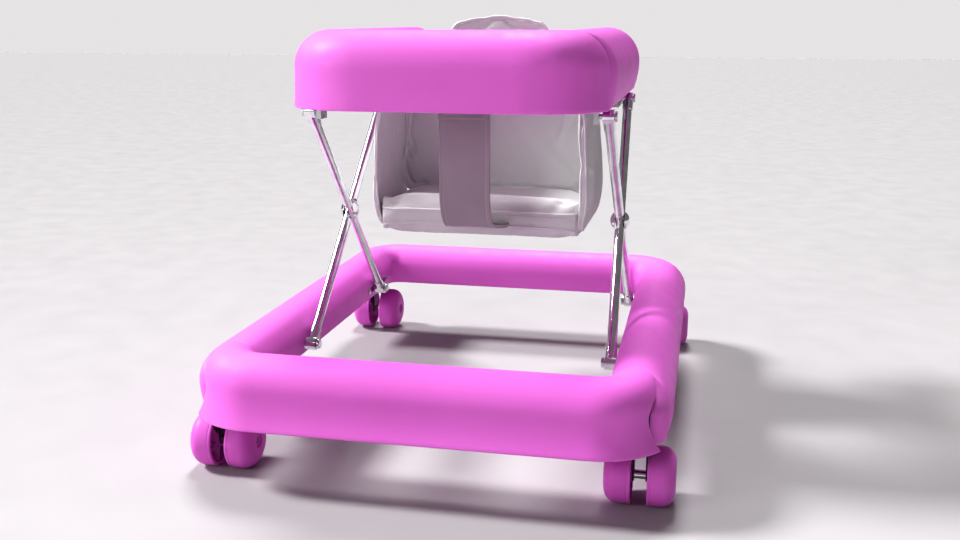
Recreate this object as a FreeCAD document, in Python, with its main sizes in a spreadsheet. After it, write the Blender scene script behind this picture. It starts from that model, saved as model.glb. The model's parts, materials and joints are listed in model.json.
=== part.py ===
"""Baby walker: wheeled base ring, crossed folding legs, tray and seat (millimetres).

Frame: +Z up, origin on the floor below the middle of the base, the front faces -Y.
"""
import FreeCAD, Part
import math
import os
import Sketcher
from FreeCAD import Placement, Rotation, Vector

DRIVING_SIZES = {
    # moulded walls and gaps between pieces
    "wall": 3.0, "gap": 0.4, "running_gap": 0.05, "slot_gap": 0.3, "beyond": 10.0,
    "overlap": 1.0, "spread": 1.5, "dome_ratio": 1.25, "dome_shift": 0.95, "cap_ratio": 1.2,
    # base ring, measured from the crest line on top of its rounded section
    "base_crest_x": 242.0, "base_crest_y": 315.0, "base_corner": 46.0, "base_top": 153.0,
    "base_inner_bulge": 33.0, "base_inner_edge": 27.4, "base_inner_bottom": 92.0,
    "base_outer_bulge": 42.0, "base_outer_edge": 37.0, "base_outer_bottom": 77.0,
    # front bumper and the curved line where it meets the ring
    "bumper_proud": 1.5, "bumper_bulge": 35.5, "bumper_flare": 44.5, "bumper_bottom": 75.0,
    "bumper_end_top": 268.0, "bumper_end_shoulder": 298.0, "bumper_end_waist": 320.0,
    "bumper_end_foot": 315.0, "shoulder_height": 139.0, "waist_height": 116.0,
    "bumper_inner_end": 216.0,
    # casters
    "caster_x": 250.0, "caster_y": 307.0, "caster_trail": 20.0,
    "wheel_radius": 34.0, "wheel_width": 31.0, "wheel_space": 18.0, "axle_radius": 5.0,
    "wheel_rim": 4.5, "wheel_hub_radius": 10.0, "hub_recess_radius": 8.0,
    "stem_radius": 5.5, "socket_radius": 11.0, "socket_bottom": 78.0, "socket_top": 128.0,
    "fork_bottom": 70.0, "fork_depth": 5.0, "cheek_depth": 2.2, "cheek_radius": 8.0,
    "fork_disc_radius": 16.0, "dome_depth": 16.0, "dome_rise": 20.0, "wheel_web": 2.0,
    "wheel_edge_break": 1.5, "hub_recess_depth": 3.0, "axle_end_gap": 0.5,
    # crossed legs
    "leg_radius": 6.5, "leg_wall": 1.2, "leg_foot_x": 200.0, "leg_head_x": 189.0,
    "front_pivot_y": -127.5, "rear_pivot_y": 181.0, "foot_height": 110.0, "head_height": 420.0,
    "knuckle_radius": 8.5, "knuckle_width": 14.0, "collar_length": 24.0, "collar_radius": 7.5,
    "tube_start": 10.0, "pin_radius": 3.0, "pin_head_radius": 6.5, "pin_head_depth": 4.0,
    "pin_cap_depth": 2.5, "head_gap": 1.0, "foot_pin_length": 35.0, "foot_pin_shoulder_radius": 7.0,
    "foot_pin_shoulder_depth": 1.2, "plate_half_length": 16.0, "plate_half_height": 12.0,
    "plate_depth": 5.0, "screw_radius": 2.0, "screw_head_radius": 3.6, "screw_head_depth": 1.5,
    "screw_length": 14.0, "screw_inset": 5.0,
    "roller_radius": 5.5, "roller_width": 7.0,
    "crossing_cap_radius": 12.0, "crossing_cap_depth": 6.5, "lap_half_length": 17.0,
    "lap_core": 6.0, "lap_cut_width": 20.0,
    "base_track_x": 216.0, "track_front": 145.0, "track_back": 251.0,
    "track_depth": 12.0, "track_height": 26.0, "track_slot_depth": 10.0,
    "tray_track_height": 22.0, "tray_track_back": 247.0, "hanger_depth": 3.0, "roof_gap": 12.0,
    "tray_track_x": 178.0, "travel_front": 159.0, "travel_back": 236.0,
    "lock_y": 190.5, "lock_knob_radius": 8.0, "lock_knob_depth": 8.0, "lock_boss_radius": 6.0,
    "lock_boss_length": 4.0, "lock_reach": 19.0, "lock_tip": 1.5, "lock_grip_depth": 2.0,
    "hinge_depth": 6.0, "hinge_half_width": 11.0, "hinge_drop": 9.0,
    # tray: two side arms, the front panel across them and the play deck between them
    "tray_crest_x": 150.0, "tray_front_crest": 191.0, "tray_corner": 44.0, "arm_back": 250.0,
    "tray_top": 522.0, "tray_outer_bottom": 430.0, "tray_outer_bulge": 50.0,
    "tray_outer_edge": 43.0, "tray_inner_bulge": 22.0, "tray_inner_edge": 25.0,
    "tray_inner_bottom": 440.0, "panel_end": 165.0, "panel_bulge": 44.5, "panel_edge": 46.5,
    "deck_top": 516.0, "deck_back": 95.0, "deck_depth": 12.0, "deck_corner": 18.0,
    # seat
    "hoop_radius": 5.0, "hoop_half_width": 140.0, "hoop_front": 86.0, "hoop_back": 166.0,
    "hoop_height": 434.5, "hoop_corner": 45.0,
    "seat_bottom": 240.0, "seat_back_y": 146.0, "seat_wall_top": 428.0,
    "pan_depth": 44.0, "pan_half_width": 139.0, "pan_round": 12.0, "side_thick": 9.0, "side_bottom": 252.0,
    "back_thick": 12.0, "back_half_width": 130.0, "back_shoulder": 420.0, "backrest_foot": 450.0,
    "backrest_top": 541.0, "backrest_half_width": 78.0, "backrest_edge": 524.0,
    "strap_half_width": 34.0, "strap_thick": 5.0, "strap_y": 80.0, "strap_turn": 305.0,
    "strap_foot_y": 45.0, "strap_foot": 258.0, "strap_slant": 2.0,
}

doc = FreeCAD.newDocument("BabyWalker")
sheet = doc.addObject("Spreadsheet::Sheet", "Sizes")
for row, (alias, number) in enumerate(DRIVING_SIZES.items(), start=1):
    sheet.set(f"A{row}", alias)
    sheet.set(f"B{row}", str(number))
    sheet.setAlias(f"B{row}", alias)
doc.recompute()


class Size:
    """A length as its number together with the spreadsheet expression that gives it."""

    def __init__(self, number, text):
        self.number = float(number)
        self.text = text

    def __add__(self, other):
        return combined(self, other, "+")

    def __sub__(self, other):
        return combined(self, other, "-")

    def __mul__(self, other):
        return combined(self, other, "*")

    def __truediv__(self, other):
        return combined(self, other, "/")

    def __radd__(self, other):
        return combined(other, self, "+")

    def __rsub__(self, other):
        return combined(other, self, "-")

    def __neg__(self):
        return Size(-self.number, f"(0 - {self.text})")


def as_size(value):
    """A plain number becomes a size whose expression is that number."""
    return value if isinstance(value, Size) else Size(value, f"({value})")


def combined(first, second, operator):
    """The sum, difference, product or quotient of two sizes."""
    first, second = as_size(first), as_size(second)
    results = {
        "+": first.number + second.number,
        "-": first.number - second.number,
        "*": first.number * second.number,
        "/": first.number / second.number if second.number else 0.0,
    }
    return Size(results[operator], f"({first.text} {operator} {second.text})")


def size(alias):
    """The driving size in the spreadsheet cell with this alias."""
    return Size(sheet.get(alias), f"Sizes.{alias}")


def bind(thing, prop, value):
    """Drive one property of a document object from the spreadsheet."""
    thing.setExpression(prop, as_size(value).text)


def place(thing, x=0, y=0, z=0, rotation=Rotation()):
    """Put an object at a bound position, turned by a plain rotation."""
    x, y, z = as_size(x), as_size(y), as_size(z)
    thing.Placement = Placement(Vector(x.number, y.number, z.number), rotation)
    for letter, value in (("x", x), ("y", y), ("z", z)):
        bind(thing, f"Placement.Base.{letter}", value)


ALONG = {
    "x": Rotation(Vector(0, 1, 0), 90),
    "y": Rotation(Vector(1, 0, 0), -90),
    "z": Rotation(),
}


def cylinder(name, radius, length, x=0, y=0, z=0, along="z"):
    """A cylinder from the given point along +X, +Y or +Z."""
    solid = doc.addObject("Part::Cylinder", name)
    bind(solid, "Radius", radius)
    bind(solid, "Height", length)
    place(solid, x, y, z, ALONG[along])
    return solid


def box(name, low, high):
    """A box between two opposite corners."""
    solid = doc.addObject("Part::Box", name)
    for prop, a, b in zip(("Length", "Width", "Height"), low, high):
        bind(solid, prop, as_size(b) - as_size(a))
    place(solid, *low)
    return solid


def cut(name, base, tool):
    """The base with the tool taken away."""
    result = doc.addObject("Part::Cut", name)
    result.Base = base
    result.Tool = tool
    return result


def common(name, base, tool):
    """What the base and the tool share."""
    result = doc.addObject("Part::Common", name)
    result.Base = base
    result.Tool = tool
    return result


def fuse(name, shapes):
    """Several overlapping shapes as one solid."""
    result = doc.addObject("Part::MultiFuse", name)
    result.Shapes = shapes
    result.Refine = True
    return result


def group(name, shapes):
    """Several separate solids that share one node."""
    result = doc.addObject("Part::Compound", name)
    result.Links = shapes
    return result


def mirrored(name, source):
    """The source reflected in the YZ plane, the walker's plane of symmetry."""
    result = doc.addObject("Part::Mirroring", name)
    result.Source = source
    result.Normal = Vector(1, 0, 0)
    return result


def origin_plane(body, role):
    """One of a body's own origin planes."""
    return next(feature for feature in body.Origin.OriginFeatures if feature.Role == role)


def arc_between(start, end, centre):
    """The shorter arc from start to end about a centre, and whether it runs clockwise."""
    radius = (start - centre).Length
    first = math.atan2(start.y - centre.y, start.x - centre.x)
    last = math.atan2(end.y - centre.y, end.x - centre.x)
    turn = (last - first) % (2 * math.pi)
    clockwise = turn > math.pi
    if clockwise:
        first, last = last, first
    circle = Part.Circle(Vector(centre.x, centre.y, 0), Vector(0, 0, 1), radius)
    return Part.ArcOfCircle(circle, first, last), clockwise


def outline(body, name, plane, corners, bends=None, closed=True, offset=0):
    """A sketch through the corners; bends gives an arc's centre from one corner to the next."""
    bends = bends or {}
    sketch = body.newObject("Sketcher::SketchObject", name)
    sketch.AttachmentSupport = [(origin_plane(body, plane), "")]
    sketch.MapMode = "FlatFace"
    if offset:
        sketch.AttachmentOffset = Placement(Vector(0, 0, as_size(offset).number), Rotation())
        bind(sketch, "AttachmentOffset.Base.z", offset)
    corners = [(as_size(u), as_size(v)) for u, v in corners]
    points = [Vector(u.number, v.number, 0) for u, v in corners]
    sides = len(corners) if closed else len(corners) - 1
    ends = []
    for side in range(sides):
        start, end = points[side], points[(side + 1) % len(points)]
        if side in bends:
            centre = Vector(*(as_size(value).number for value in bends[side]), 0)
            curve, clockwise = arc_between(start, end, centre)
            sketch.addGeometry(curve)
            ends.append((2, 1) if clockwise else (1, 2))
        else:
            sketch.addGeometry(Part.LineSegment(start, end))
            ends.append((1, 2))
    for side in range(sides if closed else sides - 1):
        after = (side + 1) % sides
        sketch.addConstraint(Sketcher.Constraint("Coincident", side, ends[side][1], after, ends[after][0]))
    holders = [(side, ends[side][0]) for side in range(sides)]
    if not closed:
        holders.append((sides - 1, ends[-1][1]))
    for corner, (side, end) in enumerate(holders):
        for kind, letter, value in zip(("DistanceX", "DistanceY"), "xy", corners[corner]):
            number = sketch.addConstraint(Sketcher.Constraint(kind, -1, 1, side, end, value.number))
            sketch.renameConstraint(number, f"{letter}{corner}")
            bind(sketch, f"Constraints.{letter}{corner}", value)
    for side, (centre_u, centre_v) in bends.items():
        level_chord = abs(points[side].y - points[(side + 1) % len(points)].y) < 1e-6
        kind, value = ("DistanceY", as_size(centre_v)) if level_chord else ("DistanceX", as_size(centre_u))
        number = sketch.addConstraint(Sketcher.Constraint(kind, -1, 1, side, 3, value.number))
        sketch.renameConstraint(number, f"centre{side}")
        bind(sketch, f"Constraints.centre{side}", value)
    return sketch


def edges_of(sketch):
    """The sub-element names of a sketch's drawn edges."""
    return [f"Edge{number + 1}" for number in range(sketch.GeometryCount)]


def swept_body(name, profile, path):
    """Sweep a profile sketch along a path sketch inside their body."""
    body = profile.getParentGeoFeatureGroup()
    pipe = body.newObject("PartDesign::AdditivePipe", name)
    pipe.Profile = profile
    pipe.Spine = (path, edges_of(path))
    pipe.Transition = "Transformed"
    body.Tip = pipe
    return body


def new_body(name):
    return doc.addObject("PartDesign::Body", name)


def padded_body(name, plane, corners, bends, length, offset=0, symmetric=False):
    """A body padded from one outline."""
    body = new_body(name)
    sketch = outline(body, f"{name}_outline", plane, corners, bends, offset=offset)
    pad = body.newObject("PartDesign::Pad", f"{name}_pad")
    pad.Profile = sketch
    bind(pad, "Length", length)
    pad.SideType = "Symmetric" if symmetric else "One side"
    return body


def bulge_centre(bulge_x, bulge_z, edge_x, edge_z):
    """Centre of the arc that leaves the bulge vertically and ends at the section's edge."""
    across = edge_x - bulge_x
    down = edge_z - bulge_z
    radius = (down * down + across * across) / (across * 2)
    return bulge_x + radius, bulge_z


def channel_outline(body, name, crest, top, inner, outer, wall, offset=0):
    """Section of an open-bottomed channel: inner and outer are (bulge, edge, bottom height)."""
    inner_bulge, inner_edge, inner_bottom = inner
    outer_bulge, outer_edge, outer_bottom = outer
    corners = [
        (crest - inner_edge, inner_bottom),
        (crest - inner_bulge, top - inner_bulge),
        (crest, top),
        (crest + outer_bulge, top - outer_bulge),
        (crest + outer_edge, outer_bottom),
        (crest + outer_edge - wall, outer_bottom),
        (crest + outer_bulge - wall, top - outer_bulge),
        (crest, top - wall),
        (crest - inner_bulge + wall, top - inner_bulge),
        (crest - inner_edge + wall, inner_bottom),
    ]
    bends = {
        0: bulge_centre(*corners[1], *corners[0]),
        1: (crest, top - inner_bulge),
        2: (crest, top - outer_bulge),
        3: bulge_centre(*corners[3], *corners[4]),
        5: bulge_centre(*corners[6], *corners[5]),
        6: (crest, top - outer_bulge),
        7: (crest, top - inner_bulge),
        8: bulge_centre(*corners[8], *corners[9]),
    }
    return outline(body, name, "XZ_Plane", corners, bends, offset=offset)


def solid_outline(body, name, crest, top, inner, outer, offset=0):
    """The channel's outer outline, filled in."""
    inner_bulge, inner_edge, inner_bottom = inner
    outer_bulge, outer_edge, outer_bottom = outer
    corners = [
        (crest - inner_edge, inner_bottom), (crest - inner_bulge, top - inner_bulge), (crest, top),
        (crest + outer_bulge, top - outer_bulge), (crest + outer_edge, outer_bottom),
    ]
    bends = {
        0: bulge_centre(*corners[1], *corners[0]), 1: (crest, top - inner_bulge),
        2: (crest, top - outer_bulge), 3: bulge_centre(*corners[3], *corners[4]),
    }
    return outline(body, name, "XZ_Plane", corners, bends, offset=offset)


def node(label, thing, position=None, rotation=Rotation()):
    """Give a finished sub-part its label, and its place where it isn't already there."""
    if position:
        place(thing, *position, rotation)
    thing.Label = label
    NODES.append(thing)
    return thing


NODES = []
SIDES = (("left", -1), ("right", 1))
ENDS = (("front", -1), ("rear", 1))


# ------------------------------------------------------------------ base
def base_loop(body, name):
    """Crest line of the base: a closed rounded rectangle that starts at +X."""
    across, along, corner = size("base_crest_x"), size("base_crest_y"), size("base_corner")
    straight_x, straight_y = across - corner, along - corner
    corners = [
        (across, 0), (across, straight_y), (straight_x, along),
        (-straight_x, along), (-across, straight_y),
        (-across, -straight_y), (-straight_x, -along),
        (straight_x, -along), (across, -straight_y),
    ]
    bends = {
        1: (straight_x, straight_y), 3: (-straight_x, straight_y),
        5: (-straight_x, -straight_y), 7: (straight_x, -straight_y),
    }
    return outline(body, name, "XY_Plane", corners, bends)


def base_channel(name, top, inner, outer, filled=False):
    """The whole base loop, hollow and open underneath or filled in."""
    body = new_body(name)
    path = base_loop(body, f"{name}_path")
    sizes = (size("base_crest_x"), top, inner, outer)
    if filled:
        section = solid_outline(body, f"{name}_section", *sizes)
    else:
        section = channel_outline(body, f"{name}_section", *sizes, size("wall"))
    return swept_body(f"{name}_sweep", section, path)


def bumper_region(name, shift=0):
    """The space that belongs to the bumper: ahead of its curved end line, and the inner wall."""
    foot = (shift - size("bumper_end_foot"), size("bumper_bottom"))
    waist = (shift - size("bumper_end_waist"), size("waist_height"))
    shoulder = (shift - size("bumper_end_shoulder"), size("shoulder_height"))
    top = (shift - size("bumper_end_top"), size("base_top"))
    above = size("base_top") * size("spread")
    beyond = -size("base_crest_y") * size("spread")
    rise = top[1] - shoulder[1]
    run = top[0] - shoulder[0]
    top_radius = (rise * rise + run * run) / (rise * 2)
    corners = [(beyond, 0), (foot[0], 0), foot, waist, shoulder, top, (top[0], above), (beyond, above)]
    bends = {
        2: bulge_centre(*waist, *foot),
        3: bulge_centre(*waist, *shoulder),
        4: (shoulder[0], shoulder[1] + top_radius),
    }
    outside = padded_body(f"{name}_outer", "YZ_Plane", corners, bends, size("base_crest_x") * 3,
                          symmetric=True)
    inner_end = size("bumper_inner_end")
    inside = box(
        f"{name}_inner",
        (-inner_end, beyond, 0),
        (inner_end, shift - (size("base_crest_y") - size("base_corner")), above),
    )
    return fuse(name, [outside, inside])


def rod(name, radius, x, y, z, length):
    """A round bar along X, out from the middle of the walker on its right side."""
    return cylinder(name, radius, length, x, y, z, "x")


def base_ring():
    """Sides, rear corners and rear of the base moulding, with holes for the legs' pins."""
    sizes = (
        size("base_top"),
        (size("base_inner_bulge"), size("base_inner_edge"), size("base_inner_bottom")),
        (size("base_outer_bulge"), size("base_outer_edge"), size("base_outer_bottom")),
    )
    end_walls = common(
        "ring_end_walls", base_channel("ring_filled", *sizes, filled=True),
        bumper_region("ring_end_space", size("wall")))
    shell = fuse("ring_closed", [base_channel("ring_shell", *sizes), end_walls])
    openings = [bumper_region("ring_front")]
    reach = size("wall") + size("beyond")
    wall_x = size("base_crest_x") - size("base_inner_bulge") - size("beyond") / 2
    height = size("foot_height")
    slot_reach = size("pin_radius") + size("overlap")
    for side, sign in SIDES:
        start_x = wall_x if sign > 0 else -(wall_x + reach)
        openings.append(rod(f"pin_hole_{side}", size("pin_radius"), start_x, size("front_pivot_y"),
                            height, reach))
        openings.append(box(
            f"wall_slot_{side}",
            (start_x, size("travel_front") - slot_reach, height - slot_reach),
            (start_x + reach, size("travel_back") + slot_reach, height + slot_reach),
        ))
        for number, edge in enumerate(screw_places()):
            openings.append(rod(f"screw_hole_{side}_{number}", size("screw_radius"), start_x, edge,
                                height, reach))
        openings.append(cylinder(
            f"socket_space_{side}", size("socket_radius") + size("gap"), size("socket_top"),
            size("caster_x") * sign, -size("caster_y"), 0))
    ring = cut("base_ring_shape", shell, fuse("ring_openings", openings))
    low_x, low_y = straight_ends()
    far_x, far_y, top = size("base_crest_x") * 2, size("base_crest_y") * 2, size("base_top") * 2
    side_space = box("base_side_space", (low_x, -far_y, 0), (far_x, low_y, top))
    corner_space = box("base_corner_space", (low_x, low_y, 0), (far_x, far_y, top))
    rear_space = box("base_rear_space", (-low_x, low_y, 0), (low_x, far_y, top))
    handed("base_side", common("base_side_shape", ring, side_space))
    handed("base_rear_corner", common("base_corner_shape", ring, corner_space))
    node("base_rear", common("base_rear_shape", ring, rear_space))


def straight_ends():
    """How far the straight sides and the straight front and rear of the base reach."""
    corner = size("base_corner")
    return size("base_crest_x") - corner, size("base_crest_y") - corner


def screw_places():
    """Where along a side the two screws of its track are."""
    return size("track_front") + size("screw_inset"), size("track_back") - size("screw_inset")


def front_bumper():
    """Flared cover that closes the front of the ring and wraps round both corners."""
    proud = size("bumper_proud")
    shell = base_channel(
        "bumper_shell", size("base_top") + proud,
        (size("base_inner_bulge") + proud, size("base_inner_edge") + proud, size("base_inner_bottom")),
        (size("bumper_bulge"), size("bumper_flare"), size("bumper_bottom")),
    )
    cover = common("front_bumper_shape", shell, bumper_region("bumper_space"))
    low_x = straight_ends()[0]
    far_x, far_y, top = size("base_crest_x") * 2, size("base_crest_y") * 2, size("base_top") * 2
    handed("bumper_corner", common(
        "bumper_corner_shape", cover, box("bumper_corner_space", (low_x, -far_y, 0), (far_x, far_y, top))))
    node("bumper_front", common(
        "bumper_front_shape", cover, box("bumper_front_space", (-low_x, -far_y, 0), (low_x, far_y, top))))


def base_tracks():
    """Grooved blocks behind the ring's inner wall, where the rear feet's rollers run."""
    slot_half = size("roller_radius") + size("slot_gap")
    low_x, high_x = size("base_track_x"), size("base_track_x") + size("track_depth")
    height = size("foot_height")
    half = size("track_height") / 2
    block = box(
        "base_track_block",
        (low_x, size("track_front"), height - half), (high_x, size("track_back"), height + half),
    )
    cuts = [box(
        "base_track_slot",
        (low_x - size("overlap"), size("travel_front") - slot_half, height - slot_half),
        (low_x + size("track_slot_depth"), size("travel_back") + slot_half, height + slot_half),
    )]
    for number, edge in enumerate(screw_places()):
        cuts.append(rod(f"track_screw_hole_{number}", size("screw_radius"), low_x - size("overlap"), edge,
                        height,
                        size("track_slot_depth")))
    pair("base_tracks", cut("base_track_shape", block, fuse("base_track_cuts", cuts)))


def track_screws():
    """Four pan-head screws that hold the two base tracks to the ring's wall."""
    screws = []
    depth = size("screw_head_depth")
    head_x = size("base_crest_x") - size("base_inner_bulge") - depth - size("running_gap") * 4
    for number, edge in enumerate(screw_places()):
        head = rod(f"screw_head_{number}", size("screw_head_radius"), head_x, edge, size("foot_height"),
                   depth)
        shank = rod(f"screw_shank_{number}", size("screw_radius"), head_x + depth / 2, edge,
                    size("foot_height"), size("screw_length"))
        screws.append(fuse(f"track_screw_{number}", [head, shank]))
    both = group("right_track_screws", screws)
    node("track_screws", group("track_screw_set", [both, mirrored("left_track_screws", both)]))


def foot_pins():
    """Shouldered pins that the front feet turn on, fixed through the ring into their plates."""
    knuckle_inner = size("leg_foot_x") - size("knuckle_width") / 2
    wall_x = size("base_crest_x") - size("base_inner_bulge")
    pins = fuse("right_foot_pin", [
        rod("foot_pin_shank", size("pin_radius"), knuckle_inner - size("overlap"), size("front_pivot_y"),
            size("foot_height"),
            size("foot_pin_length")),
        pin_head("foot_pin_head", knuckle_inner - size("head_gap"), size("front_pivot_y"),
                 size("foot_height")),
        rod("foot_pin_shoulder", size("foot_pin_shoulder_radius"),
            wall_x - size("foot_pin_shoulder_depth") - size("running_gap") * 2, size("front_pivot_y"),
            size("foot_height"), size("foot_pin_shoulder_depth")),
    ])
    node("front_foot_pins", group("front_foot_pin_set", [pins, mirrored("left_foot_pin", pins)]))


def pin_head(name, face_x, y, z):
    """Domed head whose flat face is at face_x, on the side nearest the middle of the walker."""
    depth, radius = size("pin_head_depth"), size("pin_head_radius")
    disc = rod(f"{name}_disc", radius, face_x - depth, y, z, depth)
    dome = doc.addObject("Part::Sphere", f"{name}_dome")
    bind(dome, "Radius", radius * size("dome_ratio"))
    place(dome, face_x - depth + radius * size("dome_shift"), y, z)
    return common(name, disc, dome)


def pivot_plates():
    """Steel plates behind the ring's inner wall that hold the front foot pins."""
    low_x, depth = size("base_track_x"), size("plate_depth")
    y, z = size("front_pivot_y"), size("foot_height")
    half_length, half_height = size("plate_half_length"), size("plate_half_height")
    plate = box("pivot_plate_block", (low_x, y - half_length, z - half_height),
                (low_x + depth, y + half_length, z + half_height))
    hole = rod("pivot_plate_hole", size("pin_radius"), low_x - size("overlap"), y, z,
               depth + size("overlap") * 2)
    pair("pivot_plates", cut("pivot_plate_shape", plate, hole))


# ------------------------------------------------------------------ casters
def caster_socket(x, y, name):
    """Tube inside the base that a caster's stem turns in, closed at the top."""
    tube = cylinder(f"{name}_tube", size("socket_radius"), size("socket_top") - size("socket_bottom"),
                    x, y, size("socket_bottom"))
    bore = cylinder(f"{name}_bore", size("stem_radius") + size("running_gap"),
                    size("socket_top") - size("socket_bottom") - size("wall"), x, y,
                    size("socket_bottom") - size("overlap"))
    return cut(name, tube, bore)


def caster_fork(name, x, y):
    """Plate under the base with two cheeks that carry the axle behind the swivel."""
    trail, bottom, depth = size("caster_trail"), size("fork_bottom"), size("fork_depth")
    outer = size("wheel_space") / 2 - size("slot_gap")
    cheek = size("cheek_radius")
    wheel_z = size("wheel_radius")
    pieces = [
        cylinder(f"{name}_disc", size("fork_disc_radius"), depth, x, y, bottom),
        box(f"{name}_plate", (x - outer, y, bottom), (x + outer, y + trail + cheek, bottom + depth)),
    ]
    for number, low_x in enumerate((x - outer, x + outer - size("cheek_depth"))):
        pieces.append(box(
            f"{name}_cheek_{number}",
            (low_x, y + trail - cheek, wheel_z), (low_x + size("cheek_depth"), y + trail + cheek,
                                                  bottom + size("overlap")),
        ))
        pieces.append(cylinder(
            f"{name}_eye_{number}", cheek, size("cheek_depth"), low_x, y + trail, wheel_z, "x"))
    holes = [
        cylinder(f"{name}_axle_hole", size("axle_radius") + size("running_gap"), outer * 3,
                 x - outer * size("spread"), y + trail, wheel_z, "x"),
        cylinder(f"{name}_stem_hole", size("stem_radius"), depth * 2, x, y, bottom + size("overlap")),
    ]
    return cut(f"{name}_shape", fuse(f"{name}_solid", pieces), fuse(f"{name}_holes", holes))


def wheel(name):
    """Domed wheel half on its own axis: hollow towards the fork, a small recess at the hub."""
    inner = size("wheel_space") / 2
    outer = inner + size("wheel_width")
    radius, rim = size("wheel_radius"), size("wheel_rim")
    bore, hub = size("axle_radius"), size("wheel_hub_radius")
    edge_break = size("wheel_edge_break")
    shoulder = outer - size("dome_depth")
    dome_edge = radius - size("dome_rise")
    web = shoulder - size("wheel_web")
    recess = outer - size("hub_recess_depth")
    across, down = outer - shoulder, radius - dome_edge
    dome_radius = (across * across + down * down) / (down * 2)
    corners = [
        (inner, bore), (inner, hub), (web, hub), (web, radius - rim), (inner, radius - rim),
        (inner, radius - edge_break), (inner + edge_break, radius), (shoulder, radius), (outer, dome_edge),
        (outer - size("gap"), size("hub_recess_radius")), (recess, size("hub_recess_radius")), (recess, bore),
    ]
    body = new_body(name)
    section = outline(body, f"{name}_section", "XZ_Plane", corners, {7: (shoulder, radius - dome_radius)})
    turned = body.newObject("PartDesign::Revolution", f"{name}_turned")
    turned.Profile = section
    turned.ReferenceAxis = (section, ["H_Axis"])
    turned.Angle = 360
    body.Tip = turned
    return body


def casters():
    """Four twin-wheel casters: socket, stem, fork, axle and two wheels each."""
    sockets = []
    trail, wheel_z = size("caster_trail"), size("wheel_radius")
    for end, end_sign in ENDS:
        for side, side_sign in SIDES:
            tag = f"{end}_{side}"
            x, y = size("caster_x") * side_sign, size("caster_y") * end_sign
            sockets.append(caster_socket(x, y, f"socket_{tag}"))
            stem_bottom = size("fork_bottom") + size("overlap")
            node(f"caster_stem_{tag}",
                 cylinder(f"stem_{tag}", size("stem_radius"),
                          size("socket_top") - stem_bottom - size("wall") - size("overlap") * 2),
                 (x, y, stem_bottom))
            node(f"caster_fork_{tag}", caster_fork(f"fork_{tag}", x, y))
            capped = size("hub_recess_depth") + size("axle_end_gap")
            half = size("wheel_space") / 2 + size("wheel_width") - capped
            node(f"caster_axle_{tag}",
                 cylinder(f"axle_{tag}", size("axle_radius"), half * 2),
                 (x - half, y + trail, wheel_z), ALONG["x"])
            for hand, hand_sign in SIDES:
                turn = Rotation() if hand_sign > 0 else Rotation(Vector(0, 0, 1), 180)
                node(f"wheel_{tag}_{hand}", wheel(f"wheel_{tag}_{hand}_body"), (x, y + trail, wheel_z), turn)
    node("caster_sockets", group("caster_socket_set", sockets))


# ------------------------------------------------------------------ crossed legs
def leg_frame(foot, head):
    """Rotation whose Z runs up the leg and whose X points away from the walker's middle."""
    up = (head - foot).normalize()
    out = (Vector(1, 0, 0) - up * up.x).normalize()
    return Rotation(out, up.cross(out), up, "ZXY")


def leg_points(foot_y, head_y):
    """Pivot centres of one right-hand leg."""
    foot = Vector(size("leg_foot_x").number, foot_y.number, size("foot_height").number)
    head = Vector(size("leg_head_x").number, head_y.number, size("head_height").number)
    return foot, head


def along_leg(thing, foot, head, distance):
    """Stand an object on the leg's line, a distance up from the foot, without bound coordinates."""
    turn = leg_frame(foot, head)
    return set_by_hand(thing, foot + turn.multVec(Vector(0, 0, distance)), turn)


def leg_tube(name, foot, head, lap_side):
    """Chrome tube, solid and halved where the two legs cross."""
    length = (head - foot).Length
    start = size("tube_start").number
    middle = length / 2
    lap = size("lap_half_length").number
    outer = cylinder(f"{name}_outer", size("leg_radius"), length - 2 * start)
    along_leg(outer, foot, head, start)
    core = size("lap_core").number
    bore_length = middle - lap - core - start
    tools = []
    for number, low in enumerate((start, middle + lap + core)):
        bore = cylinder(f"{name}_bore_{number}", size("leg_radius") - size("leg_wall"), bore_length)
        tools.append(along_leg(bore, foot, head, low))
    wide, half_gap = size("lap_cut_width"), size("gap").number
    lap_box = doc.addObject("Part::Box", f"{name}_lap")
    bind(lap_box, "Length", wide)
    bind(lap_box, "Width", wide * 2)
    bind(lap_box, "Height", size("lap_half_length") * 2)
    across = -half_gap if lap_side > 0 else half_gap - wide.number
    turn = leg_frame(foot, head)
    tools.append(set_by_hand(lap_box, foot + turn.multVec(Vector(across, -wide.number, middle - lap)), turn))
    crossing = (foot + head) * 0.5
    hole = cylinder(f"{name}_pin_hole", size("pin_radius") + size("running_gap"), wide * 3)
    crossing.x -= (wide * size("spread")).number
    tools.append(set_by_hand(hole, crossing, ALONG["x"]))
    return cut(f"{name}_shape", outer, fuse(f"{name}_tools", tools))


def set_by_hand(thing, base, turn):
    """A placement worked out from vectors, without bound coordinates."""
    for letter in "xyz":
        thing.setExpression(f"Placement.Base.{letter}", None)
    thing.Placement = Placement(base, turn)
    return thing


def knuckle(name, pivot, foot, head, at_foot):
    """Fitting at a leg's end: an eye round the pivot pin and a collar over the tube."""
    start, end = (foot, head) if at_foot else (head, foot)
    width, collar = size("knuckle_width"), size("collar_length")
    eye = rod(f"{name}_eye", size("knuckle_radius"), pivot.x - width.number / 2, pivot.y, pivot.z, width)
    sleeve = cylinder(f"{name}_collar", size("collar_radius"), collar)
    along_leg(sleeve, start, end, 0)
    bore = cylinder(f"{name}_bore", size("leg_radius"), collar)
    along_leg(bore, start, end, size("tube_start").number)
    hole = rod(f"{name}_hole", size("pin_radius") + size("running_gap"),
               pivot.x - width.number, pivot.y, pivot.z, width * 2)
    solid = fuse(f"{name}_solid", [eye, sleeve])
    return cut(name, solid, fuse(f"{name}_cuts", [bore, hole]))


def pair(label, right):
    """A right-hand piece and its left-hand twin as one node."""
    node(label, group(f"{label}_pair", [right, mirrored(f"{label}_twin", right)]))


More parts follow.
